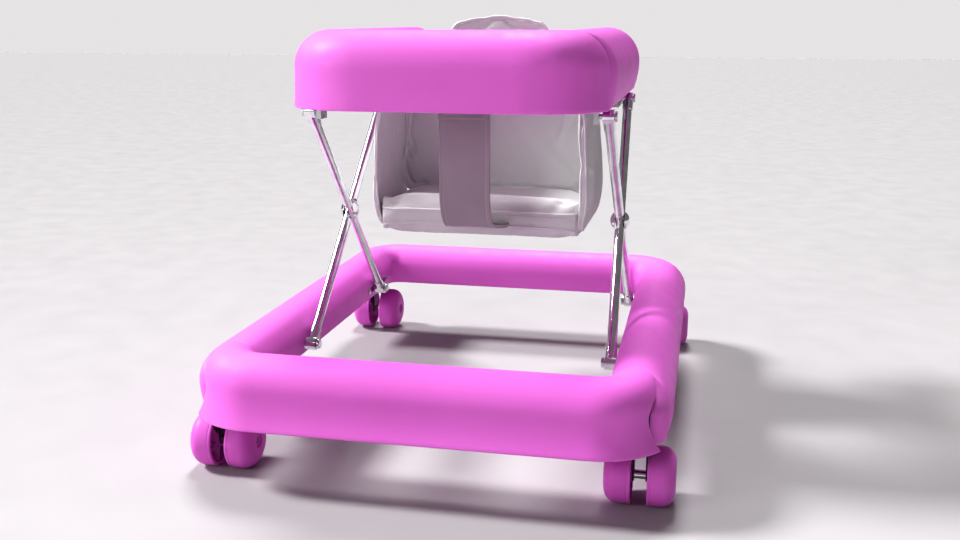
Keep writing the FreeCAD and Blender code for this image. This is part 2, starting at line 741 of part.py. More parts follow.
def handed(label, right):
    """A right-hand piece and its left-hand twin as two nodes."""
    node(f"{label}_right", right)
    node(f"{label}_left", mirrored(f"{label}_left_shape", right))


def legs():
    """Front legs run from the front foot up to the tray's rear; rear legs cross them."""
    front_foot, front_head = leg_points(size("front_pivot_y"), size("rear_pivot_y"))
    rear_foot, rear_head = leg_points(size("rear_pivot_y"), size("front_pivot_y"))
    handed("front_leg", leg_tube("front_leg_tube", front_foot, front_head, -1))
    handed("rear_leg", leg_tube("rear_leg_tube", rear_foot, rear_head, 1))
    pair("front_feet", knuckle("front_foot", front_foot, front_foot, front_head, True))
    pair("rear_feet", knuckle("rear_foot", rear_foot, rear_foot, rear_head, True))
    pair("front_leg_heads", knuckle("front_leg_head", front_head, front_foot, front_head, False))
    pair("rear_leg_heads", knuckle("rear_leg_head", rear_head, rear_foot, rear_head, False))
    rear_foot_rollers()
    leg_head_rollers()
    crossing_bolts()


def rear_foot_rollers():
    """Headed pins through the rear feet, each with a roller in its base track."""
    y, z = size("rear_pivot_y"), size("foot_height")
    face = size("leg_foot_x") - size("knuckle_width") / 2 - size("head_gap")
    roller_x = size("base_track_x") + size("overlap")
    pin = fuse("rear_foot_pin", [
        rod("rear_foot_pin_shank", size("pin_radius"), face - size("overlap"), y, z,
            roller_x + size("roller_width") - face + size("overlap") * 2),
        pin_head("rear_foot_pin_head", face, y, z),
        rod("rear_foot_roller", size("roller_radius"), roller_x, y, z, size("roller_width")),
    ])
    pair("rear_foot_rollers", pin)


def leg_head_rollers():
    """Pins that point inwards from the front legs' heads, with rollers in the tray's tracks."""
    y, z = size("rear_pivot_y"), size("head_height")
    outer = size("leg_head_x") + size("knuckle_width") / 2 + size("head_gap")
    roller_x = size("tray_track_x") - size("overlap") - size("roller_width")
    start = roller_x - size("overlap")
    pin = fuse("head_pin", [
        rod("head_pin_shank", size("pin_radius"), start, y, z, outer + size("overlap") - start),
        rod("head_pin_cap", size("pin_head_radius"), outer, y, z, size("pin_cap_depth")),
        rod("head_roller", size("roller_radius"), roller_x, y, z, size("roller_width")),
    ])
    pair("leg_head_rollers", pin)


def crossing_bolts():
    """Bolts through both halved tubes with a domed cap on each side."""
    crossing_x = (size("leg_foot_x") + size("leg_head_x")) / 2
    y = (size("front_pivot_y") + size("rear_pivot_y")) / 2
    z = (size("foot_height") + size("head_height")) / 2
    half = size("leg_radius") + size("gap")
    depth, radius = size("crossing_cap_depth"), size("crossing_cap_radius")
    shank = rod("crossing_shank", size("pin_radius"), crossing_x - half - size("overlap"), y, z,
                (half + size("overlap")) * 2)
    pieces = [shank]
    for hand, sign in SIDES:
        low = crossing_x + half if sign > 0 else crossing_x - half - depth
        disc = rod(f"crossing_disc_{hand}", radius, low, y, z, depth)
        dome = doc.addObject("Part::Sphere", f"crossing_dome_{hand}")
        dome_radius = radius * size("cap_ratio")
        bind(dome, "Radius", dome_radius)
        place(dome, crossing_x + (half + depth - dome_radius) * sign, y, z)
        pieces.append(common(f"crossing_cap_{hand}", disc, dome))
    pair("crossing_bolts", fuse("crossing_bolt", pieces))


# ------------------------------------------------------------------ tray
def tray_section(body, name, bulge, edge, offset):
    """Section of the tray's hollow rim, crest on top, open underneath."""
    return channel_outline(
        body, name, size("tray_crest_x"), size("tray_top"),
        (size("tray_inner_bulge"), size("tray_inner_edge"), size("tray_inner_bottom")),
        (bulge, edge, size("tray_outer_bottom")), size("wall"), offset=offset,
    )


def tray_arm(name):
    """Right side arm: a straight hollow rim with a closed rear end, rounded round the front."""
    body = new_body(name)
    across, along, corner = size("tray_crest_x"), size("tray_front_crest"), size("tray_corner")
    path = outline(
        body, f"{name}_path", "XY_Plane",
        [(across, size("arm_back")), (across, -(along - corner)), (across - corner, -along)],
        {1: (across - corner, -(along - corner))}, closed=False,
    )
    section = tray_section(body, f"{name}_section", size("tray_outer_bulge"), size("tray_outer_edge"),
                           -size("arm_back"))
    return swept_body(f"{name}_sweep", section, path)


def arm_end(name, offset):
    """Wall across the arm, with the arm's own outline."""
    body = new_body(name)
    section = solid_outline(
        body, f"{name}_outline", size("tray_crest_x"), size("tray_top"),
        (size("tray_inner_bulge"), size("tray_inner_edge"), size("tray_inner_bottom")),
        (size("tray_outer_bulge"), size("tray_outer_edge"), size("tray_outer_bottom")), offset=offset)
    pad = body.newObject("PartDesign::Pad", f"{name}_pad")
    pad.Profile = section
    bind(pad, "Length", size("wall"))
    body.Tip = pad
    return body


def tray():
    """Arms, front panel, play deck, the tracks under the arms, the lock pins and the hinges."""
    panel_end = -size("panel_end")
    beyond = -size("tray_front_crest") * 2
    arm_front = box("arm_front", (0, beyond, 0), (size("tray_crest_x") * 2, panel_end, size("tray_top") * 2))
    walls = [arm_end("tray_arm_back", -size("arm_back")),
             arm_end("tray_arm_front", size("panel_end") - size("wall"))]
    arm = cut("tray_arm_shape", fuse("tray_arm_solid", [tray_arm("tray_arm_rim")] + walls), arm_front)
    handed("tray_arm", arm)
    front_panel(panel_end, beyond)
    play_deck()
    tray_tracks()
    lock_pins()
    tray_hinges()


def front_panel(panel_end, beyond):
    """Rounded front panel that joins the arms, in a slimmer section than theirs."""
    body = new_body("panel_rim")
    across, along, corner = size("tray_crest_x"), size("tray_front_crest"), size("tray_corner")
    path = outline(
        body, "panel_path", "XY_Plane",
        [(across, 0), (across, -(along - corner)), (across - corner, -along),
         (-(across - corner), -along), (-across, -(along - corner)), (-across, 0)],
        {1: (across - corner, -(along - corner)), 3: (-(across - corner), -(along - corner))},
        closed=False,
    )
    section = tray_section(body, "panel_section", size("panel_bulge"), size("panel_edge"), 0)
    rim = swept_body("panel_sweep", section, path)
    wide = size("tray_crest_x") * 2
    front = box("panel_front", (-wide, beyond, 0), (wide, panel_end, size("tray_top") * 2))
    node("front_panel", common("front_panel_shape", rim, front))


def play_deck():
    """Shallow dished deck between the arms, behind the front panel."""
    half = size("tray_crest_x") - size("tray_inner_bulge") - size("gap")
    front = -(size("tray_front_crest") - size("tray_inner_bulge") - size("gap"))
    back, corner = -size("deck_back"), size("deck_corner")
    top, depth, wall = size("deck_top"), size("deck_depth"), size("wall")

    def plate(name, inset, bottom, height):
        """A block with rounded front corners, smaller all round by the inset."""
        x, low, high = half - inset, front + inset, back - inset
        radius = corner - inset
        corners = [
            (-(x - radius), low), (x - radius, low), (x, low + radius), (x, high), (-x, high), (-x,
                                                                                                low + radius),
        ]
        bends = {1: (x - radius, low + radius), 5: (-(x - radius), low + radius)}
        return padded_body(name, "XY_Plane", corners, bends, height, offset=bottom)

    tray_block = plate("deck_block", 0, top - depth, depth)
    hollow = plate("deck_hollow", wall, top - depth + wall, depth)
    node("play_deck", cut("play_deck_shape", tray_block, hollow))


def tray_tracks():
    """Grooved rails under the arms, hung from the arms' roofs, for the front legs' rollers."""
    slot_half = size("roller_radius") + size("slot_gap")
    high_x = size("tray_track_x")
    low_x = high_x - size("track_depth")
    height = size("head_height")
    half = size("tray_track_height") / 2
    back = size("tray_track_back")
    boss = size("lock_boss_length")
    solid = fuse("tray_track_solid", [
        box("tray_track_block", (low_x, size("track_front"), height - half), (high_x, back, height + half)),
        box("tray_track_hanger", (low_x, size("track_front"), height + half - size("overlap")),
            (low_x + size("hanger_depth"), back, size("tray_top") - size("roof_gap"))),
        rod("lock_boss", size("lock_boss_radius"), low_x - boss, size("lock_y"), height,
            boss + size("overlap")),
    ])
    openings = fuse("tray_track_openings", [
        box("tray_track_slot",
            (high_x - size("track_slot_depth"), size("travel_front") - slot_half, height - slot_half),
            (high_x + size("overlap"), size("travel_back") + slot_half, height + slot_half)),
        rod("lock_hole", size("pin_radius") + size("running_gap"), low_x - boss - size("overlap") * 2,
            size("lock_y"), height,
            boss + size("track_depth") / 2),
    ])
    pair("tray_tracks", cut("tray_track_shape", solid, openings))


def lock_pins():
    """Height lock: a knobbed pin through each tray track, shown drawn back from the roller."""
    low_x = size("tray_track_x") - size("track_depth")
    y, z = size("lock_y"), size("head_height")
    tip = low_x + size("lock_tip")
    knob, grip = size("lock_knob_depth"), size("lock_grip_depth")
    start = low_x - size("lock_reach")
    pin = fuse("lock_pin", [
        rod("lock_shank", size("pin_radius"), start + knob - size("overlap"), y, z,
            tip - start - knob + size("overlap")),
        rod("lock_knob", size("lock_knob_radius"), start, y, z, knob),
        rod("lock_grip", size("lock_knob_radius") - grip, start - grip, y, z, grip + size("overlap")),
    ])
    handed("lock_pin", pin)


def tray_hinges():
    """Brackets under the arms' fronts with the pins that the rear legs' heads turn on."""
    y, z = size("front_pivot_y"), size("head_height")
    high_x = size("tray_track_x")
    depth, half, drop = size("hinge_depth"), size("hinge_half_width"), size("hinge_drop")
    low_x = high_x - depth
    bracket = box("hinge_plate", (low_x, y - half, z - drop), (high_x, y + half,
                                                               size("tray_top") - size("roof_gap")))
    hole = rod("hinge_plate_hole", size("pin_radius"), low_x - size("overlap"), y, z,
               depth + size("overlap") * 2)
    pair("tray_hinges", cut("hinge_plate_shape", bracket, hole))
    outer = size("leg_head_x") + size("knuckle_width") / 2 + size("head_gap")
    pin = fuse("hinge_pin", [
        rod("hinge_pin_shank", size("pin_radius"), low_x, y, z, outer + size("overlap") - low_x),
        rod("hinge_pin_cap", size("pin_head_radius"), outer, y, z, size("pin_cap_depth")),
    ])
    pair("tray_hinge_pins", pin)


# ------------------------------------------------------------------ seat
def seat_hoop():
    """Round hoop under the tray that the seat's fabric hangs from."""
    across, front, back = size("hoop_half_width"), size("hoop_front"), size("hoop_back")
    corner, height, radius = size("hoop_corner"), size("hoop_height"), size("hoop_radius")
    inner_x, inner_front, inner_back = across - corner, front - corner, back - corner
    body = new_body("hoop_body")
    corners = [
        (across, 0), (across, inner_back), (inner_x, back), (-inner_x, back), (-across, inner_back),
        (-across, -inner_front), (-inner_x, -front), (inner_x, -front), (across, -inner_front),
    ]
    bends = {
        1: (inner_x, inner_back), 3: (-inner_x, inner_back),
        5: (-inner_x, -inner_front), 7: (inner_x, -inner_front),
    }
    path = outline(body, "hoop_path", "XY_Plane", corners, bends, offset=height)
    section = body.newObject("Sketcher::SketchObject", "hoop_section")
    section.AttachmentSupport = [(origin_plane(body, "XZ_Plane"), "")]
    section.MapMode = "FlatFace"
    section.addGeometry(Part.Circle(Vector(across.number, height.number, 0), Vector(0, 0, 1), radius.number))
    bound = (("Radius", (0,), radius), ("DistanceX", (-1, 1, 0, 3), across), ("DistanceY", (-1, 1, 0, 3),
                                                                              height))
    for number, (kind, where, value) in enumerate(bound):
        section.addConstraint(Sketcher.Constraint(kind, *where, value.number))
        section.renameConstraint(number, f"c{number}")
        bind(section, f"Constraints.c{number}", value)
    node("seat_hoop", swept_body("hoop_sweep", section, path))


def rounded_block(name, low, high, radius, edges):
    """A box with chosen edges rounded."""
    block = box(f"{name}_block", low, high)
    doc.recompute()
    rounded = doc.addObject("Part::Fillet", name)
    rounded.Base = block
    picked = [
        (number + 1, radius, radius) for number, edge in enumerate(block.Shape.Edges)
        if edges(edge.CenterOfMass, block.Shape.BoundBox)
    ]
    rounded.Edges = picked
    return rounded


def seat():
    """Closed plain solids of the padded seat, its walls, its back and the crotch strap."""
    seat_hoop()
    bottom, front = size("seat_bottom"), as_size(0)
    back = size("seat_back_y")
    pan = size("pan_half_width")
    node("seat_pan", rounded_block(
        "seat_pan_shape", (-pan, front, bottom), (pan, back + size("back_thick"),
                                                  bottom + size("pan_depth")), size("pan_round").number,
        lambda middle, bounds: middle.z < bounds.ZMin + 1 or abs(middle.z - bounds.Center.z) < 1))
    handed("seat_side", box(
        "seat_side_block", (pan + size("gap"), front, size("side_bottom")),
        (pan + size("gap") + size("side_thick"), back + size("back_thick"), size("seat_wall_top"))))
    edge, top = size("backrest_edge"), size("backrest_top")
    narrow, wide = size("backrest_half_width"), size("back_half_width")
    rise = top - edge
    arch = (narrow * narrow + rise * rise) / (rise * 2)
    low = bottom + size("pan_depth") + size("gap")
    corners = [
        (-wide, low), (wide, low), (wide, size("back_shoulder")), (narrow, size("backrest_foot")),
        (narrow, edge), (-narrow, edge), (-narrow, size("backrest_foot")), (-wide, size("back_shoulder")),
    ]
    node("seat_back", padded_body("seat_back_body", "XZ_Plane", corners, {4: (0, top - arch)},
                                  size("back_thick"), offset=-(back + size("back_thick"))))
    crotch_strap()


def crotch_strap():
    """Strap that drops from the hoop and turns back under the child to the pan's front edge."""
    front, thick = -size("strap_y"), size("strap_thick")
    turn, foot, foot_y = size("strap_turn"), size("strap_foot"), -size("strap_foot_y")
    end, slant = -size("gap"), size("strap_slant")
    corners = [
        (front, size("seat_wall_top")), (front, turn), (foot_y, foot), (end, foot),
        (end, foot + thick), (foot_y + slant, foot + thick), (front + thick, turn + slant),
        (front + thick, size("seat_wall_top")),
    ]
    node("crotch_strap", padded_body("crotch_strap_body", "YZ_Plane", corners, {},
                                     size("strap_half_width") * 2, symmetric=True))


def faulty(thing):
    """True where an object failed or holds no valid shape."""
    failed = any(word in ("Invalid", "Error") for word in thing.State)
    has_shape = hasattr(thing, "Shape")
    return failed or (thing in NODES and (not has_shape or thing.Shape.isNull() or not thing.Shape.isValid()))


base_ring()
front_bumper()
base_tracks()
track_screws()
foot_pins()
pivot_plates()
casters()
legs()
tray()
seat()
doc.recompute()

faults = [f"{thing.Label}: {thing.State}" for thing in doc.Objects if faulty(thing)]
if faults:
    raise RuntimeError("these objects failed: " + "; ".join(faults))
os.makedirs("parts", exist_ok=True)
for sub_part in NODES:
    sub_part.Shape.exportStep(f"parts/{sub_part.Label}.step")
print(len(NODES), "sub-parts written")
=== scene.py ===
"""Looks of the baby walker: moulded shells, chrome legs, sewn seat, floor, light and camera."""

import json
import math

import bmesh
import bpy
import mathutils
import numpy as np
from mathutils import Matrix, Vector
from mathutils.bvhtree import BVHTree


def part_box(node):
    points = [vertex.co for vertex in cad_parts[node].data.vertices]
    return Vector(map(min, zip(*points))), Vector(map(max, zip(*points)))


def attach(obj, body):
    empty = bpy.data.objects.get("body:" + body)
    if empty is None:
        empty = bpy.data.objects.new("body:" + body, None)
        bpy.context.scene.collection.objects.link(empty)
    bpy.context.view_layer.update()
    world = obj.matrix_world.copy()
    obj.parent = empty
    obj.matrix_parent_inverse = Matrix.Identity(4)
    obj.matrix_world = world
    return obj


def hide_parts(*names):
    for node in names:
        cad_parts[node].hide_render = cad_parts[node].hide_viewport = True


MM = 0.001
WALL = 3.0 * MM
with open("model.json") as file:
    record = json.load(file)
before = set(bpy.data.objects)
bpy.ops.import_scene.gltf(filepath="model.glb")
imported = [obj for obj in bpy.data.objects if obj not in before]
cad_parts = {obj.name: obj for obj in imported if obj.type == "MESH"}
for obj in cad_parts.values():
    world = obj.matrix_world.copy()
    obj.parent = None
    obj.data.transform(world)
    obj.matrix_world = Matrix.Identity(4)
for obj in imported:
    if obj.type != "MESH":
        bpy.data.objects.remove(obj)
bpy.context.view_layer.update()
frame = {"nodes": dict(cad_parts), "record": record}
scene = bpy.context.scene


def nodes_called(*starts):
    """Names of the CAD nodes that start so."""
    return [name for name in frame["nodes"] if name.startswith(starts)]


# ------------------------------------------------------------------ camera and light
camera_data = bpy.data.cameras.new("camera")
camera_data.lens = 35
camera_data.sensor_width = 32
camera = bpy.data.objects.new("camera", camera_data)
camera.location = (0.3034, -1.4003, 0.5341)
camera.rotation_euler = (math.radians(76.55), 0, math.radians(12.084))
scene.collection.objects.link(camera)
scene.camera = camera
scene.view_settings.view_transform = "Standard"
scene.view_settings.look = "Medium High Contrast"


def add_light(name, kind, place, target, power, **settings):
    """A light that shines from a place towards a target."""
    data = bpy.data.lights.new(name, kind)
    data.energy = power
    for setting, value in settings.items():
        setattr(data, setting, value)
    light = bpy.data.objects.new(name, data)
    light.location = place
    light.rotation_euler = (Vector(target) - Vector(place)).to_track_quat("-Z", "Y").to_euler()
    scene.collection.objects.link(light)


add_light("left_key", "SUN", (-1.9, 0.05, 1.8), (0, 0, 0), 4.2, angle=math.radians(12))
add_light("rear_key", "SUN", (-0.2, 1.3, 2.4), (0, 0, 0), 2.3, angle=math.radians(14))
add_light("front_fill", "AREA", (-1.7, -2.1, 1.1), (-0.1, 0.0, 0.3), 21,
          shape="RECTANGLE", size=1.2, size_y=0.9)


# ------------------------------------------------------------------ materials
def plug(tree, node, inputs):
    """Set a node's inputs; one given as another node's output is linked."""
    for name, value in inputs.items():
        socket = node.inputs[name]
        if isinstance(value, bpy.types.NodeSocket):
            tree.links.new(value, socket)
        else:
            socket.default_value = value


def shade(tree, kind, inputs=None, **settings):
    """Add a shader node with its settings and inputs."""
    node = tree.nodes.new(f"ShaderNode{kind}")
    for name, value in settings.items():
        setattr(node, name, value)
    plug(tree, node, inputs or {})
    return node


def make_world():
    """Dim even glow for the light, and a pale backdrop that only the camera sees."""
    world = bpy.data.worlds.new("studio")
    world.use_nodes = True
    tree = world.node_tree
    tree.nodes.clear()
    glow = shade(tree, "Background", {"Color": (1.0, 0.985, 0.99, 1), "Strength": 0.15})
    backdrop = shade(tree, "Background", {"Color": (0.675, 0.655, 0.668, 1)})
    seen = shade(tree, "LightPath").outputs["Is Camera Ray"]
    either = shade(tree, "MixShader", {0: seen, 1: glow.outputs[0], 2: backdrop.outputs[0]})
    shade(tree, "OutputWorld", {"Surface": either.outputs[0]})
    scene.world = world


make_world()


def new_material(name):
    """An empty material with a principled surface, and its object-space coordinates."""
    made = bpy.data.materials.new(name)
    made.use_nodes = True
    tree = made.node_tree
    tree.nodes.clear()
    surface = shade(tree, "BsdfPrincipled")
    output = shade(tree, "OutputMaterial", {"Surface": surface.outputs["BSDF"]})
    output.target = "ALL"
    place = shade(tree, "TexCoord").outputs["Object"]
    return made, tree, surface, place


def noise(tree, place, scale, detail=3.0, stretch=None):
    """Grey noise at a scale in cycles per metre."""
    if stretch:
        place = shade(tree, "Mapping", {"Vector": place, "Scale": stretch}).outputs["Vector"]
    return shade(tree, "TexNoise", {"Vector": place, "Scale": scale, "Detail": detail}).outputs["Fac"]


def ramp(tree, factor, low, high, start=0.3, stop=0.7):
    """Map a factor between two values or two colours."""
    as_colour = isinstance(low, tuple)
    if not as_colour:
        spread = shade(tree, "MapRange", {
            "Value": factor, "From Min": start, "From Max": stop, "To Min": low, "To Max": high})
        return spread.outputs["Result"]
    node = shade(tree, "ValToRGB", {"Fac": factor})
    first, last = node.color_ramp.elements
    first.position, last.position = start, stop
    first.color, last.color = (*low, 1), (*high, 1)
    return node.outputs["Color"]


def bump(tree, surface, *layers):
    """Stack bump layers, each (height, strength, distance in metres), on a surface's normal."""
    normal = None
    for height, strength, distance in layers:
        inputs = {"Height": height, "Strength": strength, "Distance": distance}
        if normal is not None:
            inputs["Normal"] = normal
        normal = shade(tree, "Bump", inputs).outputs["Normal"]
    tree.links.new(normal, surface.inputs["Normal"])


def mix(tree, factor, first, second):
    """Blend two colours."""
    factor_socket, first_socket, second_socket, result = 0, 6, 7, 2
    colours = [(*value, 1) if isinstance(value, tuple) else value for value in (first, second)]
    inputs = {factor_socket: factor, first_socket: colours[0], second_socket: colours[1]}
    return shade(tree, "Mix", inputs, data_type="RGBA").outputs[result]


def calculate(tree, operation, *values):
    """Result of a maths node."""
    return shade(tree, "Math", dict(enumerate(values)), operation=operation).outputs[0]


def product(tree, first, second):
    """Two factors multiplied."""
    return calculate(tree, "MULTIPLY", first, second)


def edge_wear(tree, place):
    """Factor that rises along worn convex edges, broken up by noise."""
    sharp = shade(tree, "NewGeometry").outputs["Pointiness"]
    edge = ramp(tree, sharp, 0.0, 1.0, 0.515, 0.60)
    return product(tree, edge, ramp(tree, noise(tree, place, 90.0, 5.0), 0.0, 1.0, 0.42, 0.62))


def plastic(name, colour, deep, worn, roughness):
    """Moulded plastic: fine grain, soft ripple, faint scuffs and paler worn edges."""
    made, tree, surface, place = new_material(name)
    cloud = ramp(tree, noise(tree, place, 4.0, 2.0), deep, colour, 0.35, 0.6)
    scuff = noise(tree, place, 34.0, 6.0)
    plug(tree, surface, {
        "Base Color": mix(tree, product(tree, edge_wear(tree, place), 0.5), cloud, worn),
        "Roughness": ramp(tree, scuff, roughness - 0.06, roughness + 0.12, 0.4, 0.72),
        "Specular IOR Level": 0.35,
    })
    bump(tree, surface,
         (noise(tree, place, 30.0, 2.0), 0.04, 0.0010),
         (noise(tree, place, 1500.0, 2.0), 0.10, 0.0002))
    return made


def metal(name, colour, roughness, streak, stretch=None):
    """Plated metal: fine polishing lines and smudges."""
    made, tree, surface, place = new_material(name)
    lines = noise(tree, place, 700.0, 3.0, stretch)
    dull = tuple(0.82 * value for value in colour)
    plug(tree, surface, {
        "Base Color": ramp(tree, noise(tree, place, 55.0, 4.0), dull, colour, 0.3, 0.6),
        "Roughness": ramp(tree, lines, roughness, roughness + streak, 0.3, 0.75),
        "Metallic": 1.0,
    })
    bump(tree, surface, (lines, 0.05, 0.0002))
    return made


def cloth(name, colour, deep, thread, twill, sheen, lift):
    """Woven cloth: two crossed sets of threads on each face, slubs, soft creases and a pale nap."""
    made, tree, surface, place = new_material(name)
    axes = shade(tree, "SeparateXYZ", {"Vector": place}).outputs
    facing = shade(tree, "SeparateXYZ", {"Vector": shade(tree, "TexCoord").outputs["Normal"]}).outputs
    turns = 2 * math.pi / thread
    weave = None
    for face, across, along in (("X", "Y", "Z"), ("Y", "X", "Z"), ("Z", "X", "Y")):
        slant = calculate(tree, "MULTIPLY_ADD", axes[along], twill, axes[across])
        warp = calculate(tree, "SINE", calculate(tree, "MULTIPLY", slant, turns))
        weft = calculate(tree, "SINE", calculate(tree, "MULTIPLY", axes[along], turns))
        share = calculate(tree, "POWER", calculate(tree, "ABSOLUTE", facing[face]), 4.0)
        part = product(tree, product(tree, warp, weft), share)
        weave = part if weave is None else calculate(tree, "ADD", weave, part)
    slub = noise(tree, place, 420.0, 3.0)
    base = ramp(tree, noise(tree, place, 9.0, 3.0), deep, colour, 0.3, 0.62)
    dark = tuple(0.72 * value for value in deep)
    plug(tree, surface, {
        "Base Color": mix(tree, ramp(tree, weave, 0.35, 0.0, -0.7, 0.2), base, dark),
        "Roughness": ramp(tree, slub, 0.78, 0.95),
        "Sheen Weight": sheen,
        "Sheen Roughness": 0.45,
        "Specular IOR Level": 0.25,
    })
    bump(tree, surface,
         (noise(tree, place, 26.0, 4.0), 0.25, 0.0030),
         (weave, 0.45, lift), (slub, 0.25, lift))
    return made


def thread_material(name, colour):
    """Twisted sewing thread."""
    made, tree, surface, place = new_material(name)
    twist = noise(tree, place, 2600.0, 2.0, (1.0, 1.0, 3.0))
    dark = tuple(0.6 * value for value in colour)
    plug(tree, surface, {"Base Color": ramp(tree, twist, dark, colour), "Roughness": 0.7})
    bump(tree, surface, (twist, 0.5, 0.0002))
    return made


def floor_material():
    """Pale painted floor with a faint uneven sheen."""
    made, tree, surface, place = new_material("pale_floor")
    low, high = (0.428, 0.414, 0.424), (0.438, 0.424, 0.434)
    plug(tree, surface, {
        "Base Color": ramp(tree, noise(tree, place, 3.0, 4.0), low, high),
        "Roughness": ramp(tree, noise(tree, place, 14.0, 5.0), 0.38, 0.5),
        "Specular IOR Level": 0.3,
    })
    bump(tree, surface, (noise(tree, place, 300.0, 3.0), 0.02, 0.0004))
    return made


PINK = plastic("moulded_plastic", (0.82, 0.17, 0.71), (0.77, 0.15, 0.66), (0.93, 0.48, 0.90), 0.56)
WHEEL_PINK = plastic("wheel_plastic", (0.76, 0.14, 0.65), (0.68, 0.115, 0.58), (0.86, 0.38, 0.82), 0.54)
PLUM = plastic("dark_plastic", (0.060, 0.022, 0.056), (0.040, 0.014, 0.038), (0.16, 0.08, 0.15), 0.42)
NYLON = plastic("track_plastic", (0.62, 0.61, 0.63), (0.52, 0.51, 0.54), (0.75, 0.75, 0.77), 0.45)
CHROME = metal("chrome_tube", (0.86, 0.86, 0.88), 0.06, 0.16, (6.0, 1.0, 1.0))
STEEL = metal("bright_steel", (0.62, 0.63, 0.66), 0.20, 0.22)
CLOTH = cloth("seat_fabric", (0.75, 0.755, 0.75), (0.67, 0.675, 0.67), 0.0011, 0.0, 0.25, 0.0003)
WEBBING = cloth("strap_fabric", (0.42, 0.365, 0.405), (0.35, 0.30, 0.335), 0.0016, 0.6, 0.2, 0.0005)
PIPING = cloth("seat_piping", (0.80, 0.80, 0.80), (0.72, 0.72, 0.72), 0.0009, 0.5, 0.2, 0.0002)
THREAD = thread_material("sewing_thread", (0.74, 0.70, 0.73))

SLOT_MATERIALS = {
    "moulded_plastic": PINK, "wheel_plastic": WHEEL_PINK, "dark_plastic": PLUM, "track_plastic": NYLON,
    "chrome_tube": CHROME, "bright_steel": STEEL, "seat_fabric": CLOTH, "strap_fabric": WEBBING,
}
for entry in frame["record"]["subparts"]:
    thing = frame["nodes"][entry["node"]]
    thing.data.materials.clear()
    thing.data.materials.append(SLOT_MATERIALS[entry["material_slot"]])


# ------------------------------------------------------------------ mesh building
def mesh_object(name, points, faces, material, body="tray", merge=1e-5, sharp=None):
    """A closed smooth mesh on a body, its doubled points merged; its slot follows from its material."""
    mesh = bpy.data.meshes.new(name)
    mesh.from_pydata([tuple(point) for point in points], [], faces)
    work = bmesh.new()
    work.from_mesh(mesh)
    bmesh.ops.remove_doubles(work, verts=work.verts, dist=merge)
    bmesh.ops.dissolve_degenerate(work, edges=work.edges, dist=merge)
    bmesh.ops.recalc_face_normals(work, faces=work.faces)
    work.to_mesh(mesh)
    work.free()
    mesh.shade_smooth()
    if sharp:
        mesh.set_sharp_from_angle(angle=math.radians(sharp))
    thing = bpy.data.objects.new(name, mesh)
    scene.collection.objects.link(thing)
    mesh.materials.append(material)
    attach(thing, body)
    return thing


def grid_faces(rows, columns, close_rows=False, close_columns=False, first=0):
    """Quads of a grid whose vertex number is first + row * columns + column."""
    faces = []
    for row in range(rows if close_rows else rows - 1):
        after = (row + 1) % rows
        for column in range(columns if close_columns else columns - 1):
            right = (column + 1) % columns
            corners = (row * columns + column, row * columns + right,
                       after * columns + right, after * columns + column)
            faces.append(tuple(first + corner for corner in corners))
    return faces


def end_caps(size, total, first=0):
    """Faces that close a stack of rings at its first and last ring."""
    return [tuple(range(first, first + size)), tuple(range(total - size, total))]


def round_point(radius, degrees):
    """Offsets of a point on a circle at an angle."""
    angle = math.radians(degrees)
    return radius * math.cos(angle), radius * math.sin(angle)


def applied(thing):
    """Turn what an object's modifiers make into its own mesh."""
    graph = bpy.context.evaluated_depsgraph_get()
    thing.data = bpy.data.meshes.new_from_object(thing.evaluated_get(graph))
    thing.modifiers.clear()


def distances(line):
    """How far along a line each of its points lies."""
    return np.concatenate([[0], np.cumsum(np.linalg.norm(np.diff(line, axis=0), axis=1))])


def vertex_places(mesh):
    places = np.empty(len(mesh.vertices) * 3)
    mesh.vertices.foreach_get("co", places)
    return places.reshape(-1, 3)


def set_places(mesh, places):
    mesh.vertices.foreach_set("co", np.asarray(places, float).ravel())
    mesh.update()


def arc_points(centre, start, end, steps):
    """Points of the shorter arc from start to end about a centre, both ends included."""
    centre, start, end = (np.array(point, float) for point in (centre, start, end))
    first = math.atan2(*(start - centre)[::-1])
    last = math.atan2(*(end - centre)[::-1])
    turn = (last - first + math.pi) % (2 * math.pi) - math.pi
    radius = np.linalg.norm(start - centre)
    angles = first + turn * np.linspace(0, 1, steps)
    return np.stack([centre[0] + radius * np.cos(angles), centre[1] + radius * np.sin(angles)], 1)


def tuck_centre(bulge, edge):
    """Centre of the arc that leaves the bulge vertically and reaches the section's edge."""
    across, down = edge[0] - bulge[0], edge[1] - bulge[1]
    radius = (down * down + across * across) / (2 * across)
    return bulge[0] + radius, bulge[1]


def channel_section(top, inner, outer, steps=13):
    """Outer line of a channel section: (across, height) from the inner edge over the crest."""
    inner_bulge, inner_edge, inner_bottom = inner
    outer_bulge, outer_edge, outer_bottom = outer
    corners = [
        (-inner_edge, inner_bottom + WALL / 2), (-inner_bulge, top - inner_bulge), (0, top),
        (outer_bulge, top - outer_bulge), (outer_edge, outer_bottom + WALL / 2),
    ]
    centres = [
        tuck_centre(corners[1], corners[0]), (0, top - inner_bulge), (0, top - outer_bulge),
        tuck_centre(corners[3], corners[4]),
    ]
    runs = [arc_points(centres[side], corners[side], corners[side + 1], steps) for side in range(4)]
    return np.concatenate([runs[0]] + [run[1:] for run in runs[1:]])


LIP_STEPS = 5


